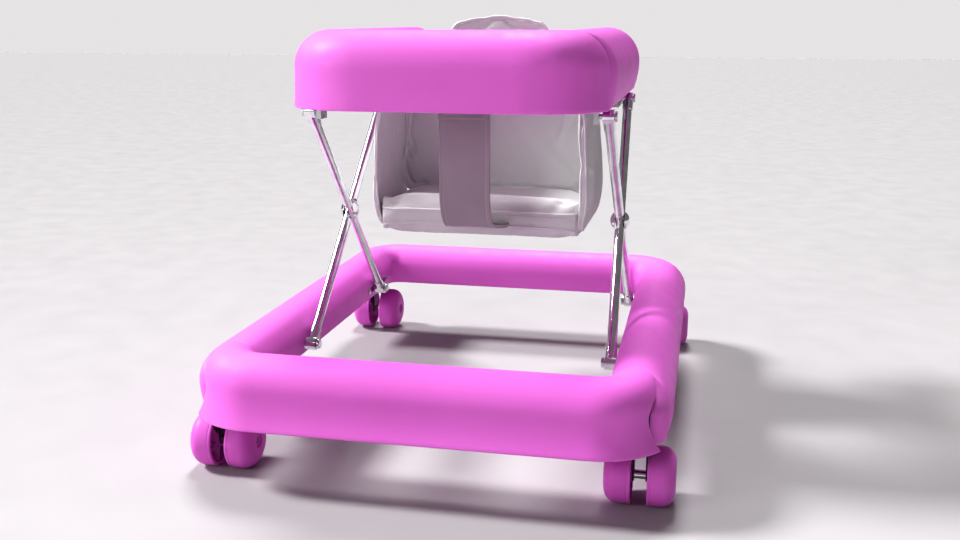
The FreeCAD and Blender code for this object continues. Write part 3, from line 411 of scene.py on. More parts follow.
class WallLoop:
    """Closed section of a wall that follows a line, with rounded lips at both its edges."""

    def __init__(self, line):
        step = np.gradient(line, axis=0)
        normals = np.stack([-step[:, 1], step[:, 0]], 1)
        normals /= np.linalg.norm(normals, axis=1, keepdims=True)
        count = len(line)
        turn = np.linspace(0, math.pi, LIP_STEPS + 2)[1:-1]
        self.index = np.concatenate([
            np.arange(count), np.full(LIP_STEPS, count - 1),
            np.arange(count)[::-1], np.zeros(LIP_STEPS, int)])
        self.lean = np.concatenate([np.ones(count), np.cos(turn), -np.ones(count), np.cos(turn[::-1])])
        reach = np.concatenate([np.zeros(count), np.sin(turn), np.zeros(count), np.sin(turn)])
        start_away = (line[0] - line[1]) / np.linalg.norm(line[0] - line[1])
        end_away = (line[-1] - line[-2]) / np.linalg.norm(line[-1] - line[-2])
        away = np.where(self.index[:, None] == 0, start_away, end_away)
        self.normal = normals[self.index]
        self.middle = line[self.index] - self.normal * WALL / 2
        self.spread = (self.lean[:, None] * self.normal + reach[:, None] * away) * WALL / 2
        self.mirror = (count - 1 - np.arange(len(self.index))) % len(self.index)

    def section(self, fullness, drop, closing):
        """Section points with a share of the wall's thickness, sunk by drop, closed sideways."""
        points = self.middle + self.spread * fullness - self.normal * drop[:, None]
        middle = (points + points[self.mirror]) / 2
        return points + (middle - points) * closing


STATIONS_TRIED = 400


class Path:
    """A plan route of straight runs and round corners, read by its distance along."""

    def __init__(self, start, corners, end, radius, spacing=0.012, turn_step=6):
        points, normals = [], []

        def straight(first, last):
            first, last = np.array(first, float), np.array(last, float)
            length = np.linalg.norm(last - first)
            ahead = (last - first) / length
            steps = max(1, math.ceil(length / spacing))
            for share in np.linspace(0, 1, steps + 1)[:-1]:
                points.append(first + (last - first) * share)
                normals.append((ahead[1], -ahead[0]))

        here = start
        for centre, first_angle in corners:
            turns = np.linspace(0, 90, 90 // turn_step + 1)
            angles = [math.radians(first_angle + turn) for turn in turns]
            arc = [(centre[0] + radius * math.cos(a), centre[1] + radius * math.sin(a)) for a in angles]
            straight(here, arc[0])
            points.extend(np.array(point) for point in arc[:-1])
            normals.extend((math.cos(a), math.sin(a)) for a in angles[:-1])
            here = arc[-1]
        straight(here, end)
        points.append(np.array(end, float))
        normals.append(normals[-1])
        self.points, self.normals = np.array(points), np.array(normals)
        self.distance = distances(self.points)
        self.length = self.distance[-1]

    def at(self, distance, across):
        """Plan points at distances along the route and distances out from it."""
        place, out = (
            np.stack([np.interp(distance, self.distance, line[:, axis]) for axis in (0, 1)], -1)
            for line in (self.points, self.normals)
        )
        out /= np.linalg.norm(out, axis=-1, keepdims=True)
        return place + np.asarray(across)[..., None] * out

    def where_y(self, across, target, low, high):
        """Distance between low and high where a line across from the route reaches a Y."""
        tries = np.linspace(low, high, STATIONS_TRIED)
        reached = self.at(tries, np.full(len(tries), across))[:, 1]
        order = np.argsort(reached)
        return float(np.interp(target, reached[order], tries[order]))


def shoulder_drop(distance, radius):
    """How far a rounded shoulder has dropped at a distance from its end."""
    run = np.clip(radius - distance, 0, radius)
    return radius - np.sqrt(np.clip(radius * radius - run * run, 0, None))


# Rows of a rim's end: (distance in, share of the wall's thickness, how far closed)
OPEN_TIP = [(0.0, 0.0, 0.0), (0.0002, 0.5, 0.0), (0.00075, 0.866, 0.0), (0.0015, 1.0, 0.0)]
CLOSED_TIP = [(0.0, 1.0, closing) for closing in (1.0, 0.85, 0.7, 0.5, 0.3, 0.15, 0.0)]
END_MARGIN = 0.004
SETTLE_ROWS = [(0.0006, 1.0, 0.0), (0.0015, 1.0, 0.0)]
SHOULDER_ROWS = [0.003, 0.005, 0.0075, 0.0105, 0.014, 0.018, 0.022]


def rim_rows(path, loop, begin, finish, start_end, far_end):
    """Rows of a rim's points. An end is (closed, shoulder radii, length hidden under its neighbour)."""
    begin, finish = begin[loop.index], finish[loop.index]
    ends = []
    for closed, shoulder, hidden in (start_end, far_end):
        inset = (1 - loop.lean) / 2 * WALL if closed else np.zeros(len(loop.lean))
        tip = CLOSED_TIP + SETTLE_ROWS if closed else OPEN_TIP
        steps = tip + [(extra, 1.0, 0.0) for extra in SHOULDER_ROWS]
        ends.append((inset, np.asarray(shoulder) * np.ones(len(begin)), hidden, steps))
    reach = SHOULDER_ROWS[-1]
    rows = []

    def add_row(distance, fullness, closing):
        drop = np.zeros(len(begin))
        for (inset, shoulder, hidden, _), gone in zip(ends, (distance - begin, finish - distance)):
            drop = drop + shoulder_drop(np.clip(gone - inset - hidden, 0, None), shoulder)
        section = loop.section(fullness, drop, closing)
        rows.append(np.column_stack([path.at(distance, section[:, 0]), section[:, 1]]))

    for gone, fullness, closing in ends[0][3]:
        add_row(begin + ends[0][0] + gone, fullness, closing)
    first, last = begin + ends[0][0] + reach, finish - ends[1][0] - reach
    low, high = first.mean(), last.mean()
    for station in path.distance:
        share = (station - low) / (high - low)
        if END_MARGIN < share < 1 - END_MARGIN:
            add_row(first + (last - first) * share, 1.0, 0.0)
    for gone, fullness, closing in reversed(ends[1][3]):
        add_row(finish - ends[1][0] - gone, fullness, closing)
    return rows


def rim_shell(name, nodes, body, path, line, begin, finish, start_end, far_end):
    """Thin-walled rim that stands in for CAD nodes: a channel section swept along a route."""
    loop = WallLoop(line)
    ends = [(closed, np.asarray(shoulder)[loop.index] if np.ndim(shoulder) else shoulder, hidden)
            for closed, shoulder, hidden in (start_end, far_end)]
    rows = rim_rows(path, loop, begin, finish, *ends)
    points = np.concatenate(rows)
    faces = grid_faces(len(rows), len(loop.index), close_columns=True)
    shell = mesh_object(name, points, faces, PINK, body)
    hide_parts(*nodes)
    return shell


# ------------------------------------------------------------------ base
HIDDEN = 4 * MM
RING_BULGE = 42 * MM
ring_nodes = nodes_called("base_side", "base_rear")
bumper_nodes = nodes_called("bumper")
ring_high = Vector([max(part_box(name)[1][axis] for name in ring_nodes) for axis in range(3)])
BASE_X = ring_high.x - RING_BULGE
BASE_Y = ring_high.y - RING_BULGE
BASE_TOP = ring_high.z
CORNER = 46 * MM
IN_X, IN_Y = BASE_X - CORNER, BASE_Y - CORNER
REACH = 0.1
# Each section: its top, then (bulge, lower edge, lowest height) of its inner and its outer side
RING_SECTION = channel_section(
    BASE_TOP, (33 * MM, 27.4 * MM, 92 * MM), (RING_BULGE, 37 * MM, 77 * MM))
BUMPER_SECTION = channel_section(
    BASE_TOP + 1.5 * MM, (34.5 * MM, 28.9 * MM, 92 * MM), (35.5 * MM, 44.5 * MM, 76 * MM))
# Where the bumper ends on its outer side: (height, place along Y) in millimetres
END_LINE = ((75, -315), (92, -318.8), (104, -320), (116, -320), (124, -318), (131, -311),
            (139, -298), (145, -286), (150, -276), (153, -269))


def end_line(height):
    """Where along Y the bumper ends at a height on its outer side."""
    heights, places = (np.array(values) * MM for values in zip(*END_LINE))
    return np.interp(height, heights, places)


def ends_on_line(path, section, low, high):
    """Distance along the route where each section point reaches the bumper's end line."""
    targets = [end_line(height) if across > 0 else -IN_Y for across, height in section]
    smooth = np.array(targets)
    for _ in range(3):
        smooth[1:-1] = (smooth[:-2] + 2 * smooth[1:-1] + smooth[2:]) / 4
    return np.array([path.where_y(across, target, low, high)
                     for (across, _), target in zip(section, smooth)])


def outer_shoulder(section, inner, outer, width):
    """Shoulder radius of each section point, from the inner to the outer side."""
    share = np.clip(section[:, 0] / width, 0, 1)
    return inner + (outer - inner) * share * share * (3 - 2 * share)


def make_base():
    """Ring and bumper shells; the ring's ends run a little under the bumper."""
    corners = ((IN_X, -IN_Y), -90), ((IN_X, IN_Y), 0), ((-IN_X, IN_Y), 90), ((-IN_X, -IN_Y), 180)
    path = Path((REACH, -BASE_Y), corners, (-REACH, -BASE_Y), CORNER)
    begin = ends_on_line(path, RING_SECTION, 0.05, path.length / 4) - HIDDEN
    end = (False, outer_shoulder(RING_SECTION, 4 * MM, 17 * MM, 34 * MM), HIDDEN)
    ring = rim_shell("base_ring_shell", ring_nodes, "base", path, RING_SECTION,
                     begin, path.length - begin, end, end)
    corners = ((-IN_X, -IN_Y), 180), ((IN_X, -IN_Y), -90)
    path = Path((-BASE_X, -REACH), corners, (BASE_X, -REACH), CORNER)
    far = ends_on_line(path, BUMPER_SECTION, path.length * 0.7, path.length)
    end = (False, outer_shoulder(BUMPER_SECTION, 0.6 * MM, 2.2 * MM, 20 * MM), 0.0)
    rim_shell("front_bumper_shell", bumper_nodes, "base", path, BUMPER_SECTION,
              path.length - far, far, end, end)
    return ring


def slot_cutter(side, low_y, high_y, radius):
    """A round-ended bar through the ring's inner wall, for cutting."""
    inner, outer = BASE_X - 41 * MM, BASE_X - 25 * MM
    outline = []
    for centre, first in ((high_y, -90), (low_y, 90)):
        for turn in range(0, 181, 15):
            along, rise = round_point(radius, first + turn)
            outline.append((centre + along, PIN_HEIGHT + rise))
    count = len(outline)
    points = [(side * x, y, z) for x in (inner, outer) for y, z in outline]
    faces = grid_faces(2, count, close_columns=True) + end_caps(count, 2 * count)
    return mesh_object("cutter", points, faces, PINK, "base")


def cut_away(thing, cutters):
    """Cut shapes out of a mesh and leave sharp rims."""
    for cutter in cutters:
        modifier = thing.modifiers.new("cut", "BOOLEAN")
        modifier.object = cutter
        modifier.operation = "DIFFERENCE"
        modifier.solver = "EXACT"
    applied(thing)
    thing.data.set_sharp_from_angle(angle=CUT_SHARPNESS)
    for cutter in cutters:
        bpy.data.objects.remove(cutter)


PIN_HEIGHT = 0.110
CUT_SHARPNESS = math.radians(42)
SCREW_RADIUS = 2.2 * MM
# Holes through the ring's inner wall, (low Y, high Y, radius): the rear foot's slot, the front
# pin's hole and two screw holes
WALL_HOLES = ((0.159, 0.236, 0.0046), (-0.1276, -0.1274, 0.0034),
              (0.1499, 0.1501, SCREW_RADIUS), (0.2459, 0.2461, SCREW_RADIUS))
cut_away(make_base(), [slot_cutter(side, *hole) for side in (-1, 1) for hole in WALL_HOLES])

# ------------------------------------------------------------------ tray
ARM_BULGE = 50 * MM
arm_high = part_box("tray_arm_right")[1]
panel_low, panel_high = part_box("front_panel")
TRAY_TOP = arm_high.z
TRAY_X = arm_high.x - ARM_BULGE
PANEL_EDGE = 46.5 * MM
TRAY_FRONT = -panel_low.y - PANEL_EDGE
TRAY_CORNER = 44 * MM
TRAY_IN = (22 * MM, 25 * MM, 440 * MM)
ARM_SECTION = channel_section(TRAY_TOP, TRAY_IN, (ARM_BULGE, 43 * MM, 430 * MM))
PANEL_SECTION = channel_section(TRAY_TOP, TRAY_IN, (44.5 * MM, PANEL_EDGE, 430 * MM))


def make_tray():
    """Two side arms and the front panel, which overlaps them."""
    turn_x, turn_y = TRAY_X - TRAY_CORNER, -(TRAY_FRONT - TRAY_CORNER)
    spare = 0.05
    end = (TRAY_X, arm_high.y + spare)
    path = Path((0.02, -TRAY_FRONT), [((turn_x, turn_y), -90)], end, TRAY_CORNER)
    front = panel_high.y
    begin = np.array([path.where_y(across, front, 0, 0.3) for across, _ in ARM_SECTION]) - HIDDEN
    finish = np.full(len(begin), path.length - spare)
    shoulder = outer_shoulder(ARM_SECTION, 3 * MM, 17 * MM, 50 * MM)
    arm = rim_shell("tray_arm_right_shell", ["tray_arm_right"], "tray", path, ARM_SECTION,
                    begin, finish, (False, shoulder, HIDDEN), (True, 12 * MM, 0.0))
    twin_mesh = arm.data.copy()
    set_places(twin_mesh, vertex_places(arm.data) * (-1, 1, 1))
    twin_mesh.flip_normals()
    twin = bpy.data.objects.new("tray_arm_left_shell", twin_mesh)
    scene.collection.objects.link(twin)
    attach(twin, "tray")
    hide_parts("tray_arm_left")
    corners = ((-turn_x, turn_y), 180), ((turn_x, turn_y), -90)
    path = Path((-TRAY_X, 0.0), corners, (TRAY_X, 0.0), TRAY_CORNER)
    far = np.array([path.where_y(across, front, path.length * 0.6, path.length)
                    for across, _ in PANEL_SECTION])
    end = (False, outer_shoulder(PANEL_SECTION, 0.6 * MM, 2.0 * MM, 20 * MM), 0.0)
    rim_shell("front_panel_shell", ["front_panel"], "tray", path, PANEL_SECTION,
              path.length - far, far, end, end)


def rounded_outline(low, high, radius, steps=7):
    """Plan outline of a rounded rectangle, counterclockwise."""
    left, right, near, far = low[0] + radius, high[0] - radius, low[1] + radius, high[1] - radius
    points = []
    centres = (right, far), (left, far), (left, near), (right, near)
    for quarter, (centre_x, centre_y) in enumerate(centres):
        for turn in np.linspace(0, 90, steps):
            x, y = round_point(radius, 90 * quarter + turn)
            points.append((centre_x + x, centre_y + y))
    return points


# Section of the deck: (distance in from its outline, height from its rim's top) in millimetres
DECK_PROFILE = (
    (14.0, -12.0), (3.0, -12.0), (1.2, -11.4), (0.3, -10.0), (0.0, -8.0), (0.0, -1.2), (0.4, -0.3),
    (1.3, 0.0), (2.2, -0.3), (2.9, -1.2), (3.6, -4.0), (5.0, -7.0), (7.5, -8.6), (11.0, -9.0))
DECK_CORNER = 18


def make_deck():
    """Dished play deck with a rolled rim."""
    low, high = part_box("play_deck")
    points = []
    for inset, rise in DECK_PROFILE:
        inner_low, inner_high = ([corner[axis] + way * inset * MM for axis in (0, 1)]
                                 for corner, way in ((low, 1), (high, -1)))
        ring = rounded_outline(inner_low, inner_high, max(DECK_CORNER - inset, 4) * MM)
        points += [(x, y, high.z + rise * MM) for x, y in ring]
    faces = grid_faces(len(DECK_PROFILE), len(ring), close_columns=True)
    faces += end_caps(len(ring), len(points))
    deck = mesh_object("play_deck_tray", points, faces, PINK, sharp=50)
    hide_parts("play_deck")


make_tray()
make_deck()


# ------------------------------------------------------------------ wheels
WHEEL_STEPS = 72
DOME_STEPS = 13
RIB_COUNT = 6


def lathe(profile, steps):
    """Points and faces of a closed profile of (along, radius) turned about X."""
    points = []
    for step in range(steps):
        for along, radius in profile:
            points.append((along, *round_point(radius, 360 * step / steps)))
    return np.array(points), grid_faces(steps, len(profile), close_rows=True, close_columns=True)


def smooth_profile(corners):
    """A profile through corners given as (along, radius, rounding), each corner cut by an arc."""
    line = []
    count = len(corners)
    for number, (along, radius, rounding) in enumerate(corners):
        here = np.array((along, radius))
        before, after = (np.array(corners[(number + step) % count][:2]) for step in (-1, 1))
        into = (before - here) / np.linalg.norm(before - here)
        out = (after - here) / np.linalg.norm(after - here)
        for share in np.linspace(0, 1, 5 if rounding else 1):
            first, last = here + into * rounding, here + out * rounding
            line.append((1 - share) ** 2 * first + 2 * share * (1 - share) * here + share ** 2 * last)
    return [tuple(point * MM) for point in line]


def make_wheel(tag, hand):
    """Domed wheel half with a moulded web, ribs in its hollow and a small hub recess."""
    name, body = f"wheel_{tag}_{hand}", f"wheels_{tag}"
    low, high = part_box(name)
    centre = (low + high) / 2
    sign = 1 if hand == "right" else -1
    width, radius = (high.x - low.x) / MM, (high.z - low.z) / 2 / MM
    inner = centre.x - sign * width / 2 * MM
    bore, hub, crown, depth = 5.0, 10, 11, 16
    web = width - 18.5
    dome = []
    for share in np.linspace(0, 1, DOME_STEPS):
        angle = share * math.radians(78)
        reach = crown + (radius - crown) * math.cos(angle) ** 0.72
        dome.append((width - depth + depth * math.sin(angle), reach, 0))
    corners = [
        (0, bore, 0), (0, hub, 0.8), (web, hub + 0.5, 1.5), (web, radius - 5.2, 1.8),
        (0, radius - 4.2, 0.8), (0, radius, 1.4), (3.4, radius, 0.3), (4.0, radius - 0.5, 0.3),
        (4.6, radius, 0.3), *dome, (width - 0.3, 9.2, 0.4), (width - 0.5, 8.2, 0.3),
        (width - 3, 7.8, 0.3), (width - 3, bore, 0)]
    points, faces = lathe(smooth_profile(corners), WHEEL_STEPS)
    points = points * (sign, 1, 1) + (inner, centre.y, centre.z)
    wheel = mesh_object(name + "_moulding", points, faces, WHEEL_PINK, body, sharp=38)
    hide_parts(name)
    ribs, rib_faces = [], []
    rib_half, rib_foot, rib_head = 0.9, 10.2, radius - 4.9
    for number in range(RIB_COUNT):
        ahead = np.array(round_point(1, 360 / RIB_COUNT * number + 15))
        aside = np.array((-ahead[1], ahead[0]))
        for reach in (rib_foot, rib_head):
            for along, scale in ((1.6, 0.7), (web + 0.3, 1.0)):
                for way in (-1, 1):
                    y, z = (ahead * reach + aside * way * rib_half * scale) * MM
                    ribs.append((inner + sign * along * MM, centre.y + y, centre.z + z))
        rib_faces += [tuple(number * 8 + corner for corner in quad) for quad in (
            (0, 1, 3, 2), (4, 5, 7, 6), (0, 1, 5, 4), (2, 3, 7, 6), (0, 2, 6, 4), (1, 3, 7, 5))]
    webs = mesh_object(name + "_ribs", ribs, rib_faces, WHEEL_PINK, body, sharp=30)
    webs.modifiers.new("edge", "BEVEL").width = 0.3 * MM


for end in ("front", "rear"):
    for side in ("left", "right"):
        for hand in ("left", "right"):
            make_wheel(f"{end}_{side}", hand)


# ------------------------------------------------------------------ seat
PAD_VOXEL = 4.5 * MM
CLOTH_FRAMES = 20
RIPPLE_SCALE = 11
CLOTH_SETTINGS = {
    "quality": 4, "tension_stiffness": 12, "compression_stiffness": 8, "bending_stiffness": 0.3,
    "use_pressure": True, "uniform_pressure_force": 4,
}
SEAM_SPACING = 3 * MM
PIPING_INSET = 1.8 * MM
STITCH_INSET = PIPING_INSET + 5.5 * MM
hoop_low, hoop_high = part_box("seat_hoop")
pan_low, pan_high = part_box("seat_pan")
side_low, side_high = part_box("seat_side_right")
back_low, back_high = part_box("seat_back")
strap_low, strap_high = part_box("crotch_strap")
BAR_RADIUS = 5 * MM
HOOP_LEVEL = (hoop_low.z + hoop_high.z) / 2
SIDE_MIDDLE = (side_low.x + side_high.x) / 2
# How far the side walls lean out: (height, lean) in millimetres
WALL_BOW = ((246, -4.5), (262, 1.5), (292, 6.5), (335, 5.0), (395, -1.0), (432, -4.0))


def pad_blank(name, outline, thickness, layout):
    """A flat pad of an outline, cut into even quads, then laid out in place by a function."""
    count = len(outline)
    points = [(u, v, way * thickness / 2) for way in (-1, 1) for u, v in outline]
    faces = grid_faces(2, count, close_columns=True) + end_caps(count, 2 * count)
    pad = mesh_object(name, points, faces, CLOTH)
    even = pad.modifiers.new("even", "REMESH")
    even.mode = "VOXEL"
    even.voxel_size = PAD_VOXEL
    pad.modifiers.new("ease", "SMOOTH").iterations = 5
    applied(pad)
    set_places(pad.data, layout(vertex_places(pad.data)))
    return pad


def swell(pad, held, cap, shrink=-0.02):
    """Blow a pad up against its seams by a cloth simulation, no point moving further than a cap."""
    start = vertex_places(pad.data)
    seam = pad.vertex_groups.new(name="seam")
    for number, share in enumerate(held(start)):
        seam.add([number], float(share), "REPLACE")
    simulation = pad.modifiers.new("cloth", "CLOTH")
    for setting, value in CLOTH_SETTINGS.items():
        setattr(simulation.settings, setting, value)
    simulation.settings.shrink_min = shrink
    simulation.settings.vertex_group_mass = seam.name
    simulation.settings.effector_weights.gravity = 0
    simulation.point_cache.frame_end = CLOTH_FRAMES
    for step in range(1, CLOTH_FRAMES + 1):
        scene.frame_set(step)
    applied(pad)
    scene.frame_set(1)
    moved = vertex_places(pad.data) - start
    length = np.maximum(np.linalg.norm(moved, axis=1, keepdims=True), 1e-9)
    set_places(pad.data, start + moved * np.minimum(1, cap / length))
    pad.modifiers.new("soft", "SUBSURF").levels = 1
    applied(pad)
    pad.data.shade_smooth()


def turbulence(place):
    return mathutils.noise.fractal(place, 0.9, 2.0, 3)


def fold(pad, lines, ripple, stretch):
    """Press folds along lines of (start, end, width, depth), in millimetres, and a ripple into a pad."""
    places = vertex_places(pad.data)
    normals = np.array([vertex.normal for vertex in pad.data.vertices])
    push = np.array([turbulence(Vector(place) * RIPPLE_SCALE * Vector(stretch)) for place in places])
    push *= ripple
    for start, end, width, depth in lines:
        start, end = np.array(start) * MM, np.array(end) * MM
        along = end - start
        share = np.clip((places - start) @ along / (along @ along), 0, 1)
        away = np.linalg.norm(places - start - share[:, None] * along, axis=1)
        taper = np.sin(np.pi * np.clip(share * 0.9 + 0.1, 0, 1)) ** 0.6
        near = (away / (width * MM)) ** 2
        push -= depth * MM * taper * (np.exp(-near) - 0.55 * np.exp(-near / 5))
    set_places(pad.data, places + normals * push[:, None])


def snapped(places, pad, lift=0.0):
    """Places moved onto a pad's surface, with the surface's normals."""
    tree = BVHTree.FromObject(pad, bpy.context.evaluated_depsgraph_get())
    found = [tree.find_nearest(Vector(place))[:2] for place in places]
    normals = np.array([normal for _, normal in found])
    return np.array([spot for spot, _ in found]) + normals * lift, normals


def even_line(places, spacing, closed=False):
    """A line through places, resampled at an even spacing."""
    places = np.asarray(places, float)
    if closed:
        places = np.concatenate([places, places[:1]])
    gone = distances(places)
    steps = max(2, round(gone[-1] / spacing))
    stations = np.linspace(0, gone[-1], steps + 1)[:steps if closed else None]
    return np.stack([np.interp(stations, gone, places[:, axis]) for axis in range(3)], 1)


def eased(line, rounds, closed=False):
    """A line with its corners rounded off."""
    for _ in range(rounds):
        before, after = np.roll(line, 1, 0), np.roll(line, -1, 0)
        if not closed:
            before[0], after[-1] = line[0], line[-1]
        line = (before + 2 * line + after) / 4
    return line


def tube(name, line, radius, closed=False, sides=8):
    """Round cord sewn along a line, with a faint twist."""
    line = np.asarray(line)
    ahead = np.roll(line, -1, 0) - np.roll(line, 1, 0)
    if not closed:
        ahead[0], ahead[-1] = line[1] - line[0], line[-1] - line[-2]
    across = np.array((0.31, 0.22, 0.92))
    points = []
    for number, (place, way) in enumerate(zip(line, ahead)):
        way = way / np.linalg.norm(way)
        across = across - way * (across @ way)
        across /= np.linalg.norm(across)
        other = np.cross(way, across)
        for step in range(sides):
            angle = 2 * math.pi * step / sides
            reach = radius * (1 + 0.06 * math.sin(angle * 3 + number * 0.9))
            points.append(place + reach * (math.cos(angle) * across + math.sin(angle) * other))
    faces = grid_faces(len(line), sides, close_rows=closed, close_columns=True)
    if not closed:
        faces += end_caps(sides, len(points))
    return mesh_object(name, points, faces, PIPING)


# Rings of a stitch: (share of its length, share of its radius, rise in radii)
STITCH_RINGS = (
    (-0.5, 0.25, -0.9), (-0.34, 0.9, 0.1), (0.0, 1.0, 0.55), (0.34, 0.9, 0.1), (0.5, 0.25, -0.9))
STITCH_SIDES = 5
STITCH_PITCH = 4.2 * MM
STITCH_RADIUS = 0.42 * MM


def stitches(name, rows, length=0.0029):
    """Sewn stitches along rows of (places, normals), each a short sunken thread."""
    points, faces = [], []
    for places, normals in rows:
        gone = distances(places)

        def at(station, values):
            return np.array([np.interp(station, gone, values[:, axis]) for axis in range(3)])

        for station in np.arange(STITCH_PITCH, gone[-1] - STITCH_PITCH / 2, STITCH_PITCH):
            begin, centre, end = (at(station + reach, places) for reach in (-length / 2, 0, length / 2))
            ahead = end - begin
            ahead /= np.linalg.norm(ahead)
            up = at(station, normals)
            up -= ahead * (up @ ahead)
            up /= np.linalg.norm(up)
            side = np.cross(ahead, up)
            first = len(points)
            for along, full, rise in STITCH_RINGS:
                middle = centre + ahead * along * length + up * rise * STITCH_RADIUS
                for step in range(STITCH_SIDES):
                    angle = 2 * math.pi * step / STITCH_SIDES
                    out = math.cos(angle) * side + math.sin(angle) * up
                    points.append(middle + full * STITCH_RADIUS * out)
            faces += grid_faces(len(STITCH_RINGS), STITCH_SIDES, close_columns=True, first=first)
            faces += end_caps(STITCH_SIDES, len(points), first)
    return mesh_object(name, points, faces, THREAD, merge=1e-7)


def shrunk(outline, inset):
    """An outline moved inwards, for seams and stitch rows."""
    line = np.asarray(outline)
    step = np.roll(line, -1, 0) - np.roll(line, 1, 0)
    step /= np.linalg.norm(step, axis=1, keepdims=True)
    area = np.sum(line[:, 0] * np.roll(line[:, 1], -1) - line[:, 1] * np.roll(line[:, 0], -1))
    inward = np.stack([-step[:, 1], step[:, 0]], 1) * math.copysign(1, area)
    return line + inward * inset


def trim_pad(pad, name, outline, layout, faces_at):
    """Piping along a pad's edge and a stitch row inside it, on the faces given."""
    rows = []
    for number, face in enumerate(faces_at):
        lines = []
        for inset in (PIPING_INSET, STITCH_INSET):
            flat = shrunk(outline, inset)
            laid = layout(np.column_stack([flat, np.full(len(flat), face)]))
            lines.append(even_line(laid, SEAM_SPACING, True))
        spots, _ = snapped(lines[0], pad, 0.6 * MM)
        tube(f"{name}_piping_{number}", eased(spots, 3, True), 1.6 * MM, closed=True)
        spots, normals = snapped(lines[1], pad)
        rows.append((eased(spots, 2, True), normals))
    stitches(f"{name}_stitching", rows)


def wall_bow(heights):
    """How far the seat's side walls lean out at each height."""
    levels, bows = (np.array(values) * MM for values in zip(*WALL_BOW))
    stations = np.linspace(levels[0], levels[-1], 60)
    eased_bows = np.interp(stations, levels, bows)
    for _ in range(12):
        eased_bows[1:-1] = (eased_bows[:-2] + 2 * eased_bows[1:-1] + eased_bows[2:]) / 4
    return np.interp(heights, stations, eased_bows)


def near_edge(values, low, high, width):
    """1 at either end of a range and 0 further in than a width."""
    return np.clip(1 - np.minimum(values - low, high - values) / width, 0, 1)


PAN_HALF = 140.5
# Folds are (start, end, width, depth) in millimetres
PAN_FOLDS = (
    ((-44, 0, 268), (-62, 26, 284), 5, 3.4), ((44, 0, 268), (66, 30, 284), 5, 3.6),
    ((50, -4, 262), (92, -2, 250), 6, 2.8), ((-50, -4, 262), (-84, -2, 250), 6, 2.2),
    ((100, -2, 274), (126, 18, 286), 7, 3.0), ((70, 40, 285), (118, 90, 285), 9, 2.6),
    ((-120, 60, 285), (-60, 110, 285), 9, 2.2), ((-20, 120, 285), (50, 140, 285), 8, 2.0))


def make_pan():
    """Seat cushion between the side walls, its front lip rolled over."""
    outline = smooth_profile([
        (-PAN_HALF, -0.5, 9), (PAN_HALF, -0.5, 9), (PAN_HALF, 156, 9), (-PAN_HALF, 156, 9)])
    middle = (pan_low.z + pan_high.z) / 2

    def layout(flat):
        across, along, lift = flat.T
        crown = 3.0 * MM * np.cos(np.clip(across / 0.15, -1, 1) * math.pi / 2)
        dip = -2.5 * MM * np.sin(np.clip((along + 0.002) / 0.158, 0, 1) * math.pi)
        front_roll = np.clip(1 - along / 0.02, 0, 1) ** 2
        upper = np.clip(lift / 0.017, -1, 1)
        bolster = 11 * MM * np.exp(-((along - 0.012) / 0.017) ** 2)
        rolled = along + front_roll * 0.0064 * (1 - np.cos(upper * math.pi / 2))
        height = middle + lift + (crown + dip + bolster) * (upper > 0) * upper
        return np.column_stack([across, rolled, height])

    pad = pad_blank("seat_pan_cushion", outline, 36 * MM, layout)
    seam = PAN_HALF * MM
    swell(pad, lambda spots: near_edge(spots[:, 0], -seam, seam, 6 * MM) * 0.9, 6 * MM)
    fold(pad, PAN_FOLDS, 1.1 * MM, (1.0, 1.3, 1.0))
    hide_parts("seat_pan")
    left = [(-0.139, 0.030), (-0.139, 0.004), (-0.130, -0.006)]
    front = left + [(-x, y) for x, y in reversed(left)]
    rows = []
    for number, rise in enumerate((-13 * MM, 14 * MM)):
        line = even_line([(x, y, middle + rise) for x, y in front], SEAM_SPACING)
        spots, _ = snapped(line, pad, 0.4 * MM)
        tube(f"seat_pan_piping_{number}", eased(spots, 4), 1.5 * MM)
        inner, normals = snapped(line - np.array((0, 0, math.copysign(5 * MM, rise))), pad)
        rows.append((eased(inner, 2), normals))
    stitches("seat_pan_stitching", rows)


# Folds of a side wall: (start along and up, end along and up, width, depth) in millimetres
SIDE_FOLDS = (
    ((10, 270), (78, 330), 7, 2.4), ((6, 300), (60, 400), 6, 1.8), ((150, 280), (96, 350), 8, 2.6),
    ((120, 262), (60, 290), 6, 1.8), ((40, 426), (70, 372), 6, 1.6), ((112, 427), (92, 360), 7, 1.8))


def make_side(hand, sign):
    """Side wall that bellies out below the hoop, rounded at its lower corners."""
    outline = smooth_profile([
        (1, 431, 2), (160, 431, 2), (164, 330, 24), (162, 250, 34), (2, 248, 16), (-2.5, 300, 24)])

    def layout(flat):
        along, height, lift = flat.T
        belly = 2.5 * MM * np.sin(np.clip(along / 0.158, 0, 1) * math.pi)
        curl = -3.5 * MM * np.clip(1 - along / 0.024, 0, 1) ** 2
        curl *= np.clip((0.40 - height) / 0.08, 0, 1)
        across = sign * (SIDE_MIDDLE + wall_bow(height) + belly + curl + lift)
        return np.column_stack([across, along, height])

    pad = pad_blank(f"seat_side_{hand}_pad", outline, 6.0 * MM, layout)
    swell(pad, lambda spots: np.maximum(near_edge(spots[:, 1], -0.003, 0.161, 7 * MM),
                                        near_edge(spots[:, 2], 0.247, 0.431, 7 * MM)), 5 * MM, -0.05)
    out = sign * (SIDE_MIDDLE / MM + 6)
    lines = [((out, *start), (out, *end), width, depth) for start, end, width, depth in SIDE_FOLDS]
    fold(pad, lines, 1.3 * MM, (1.0, 1.0, 0.6))
    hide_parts(f"seat_side_{hand}")
    trim_pad(pad, f"seat_side_{hand}", outline, layout, (4 * MM, -4 * MM))


CHANNEL = 0.428
HEAD_HALF = 78
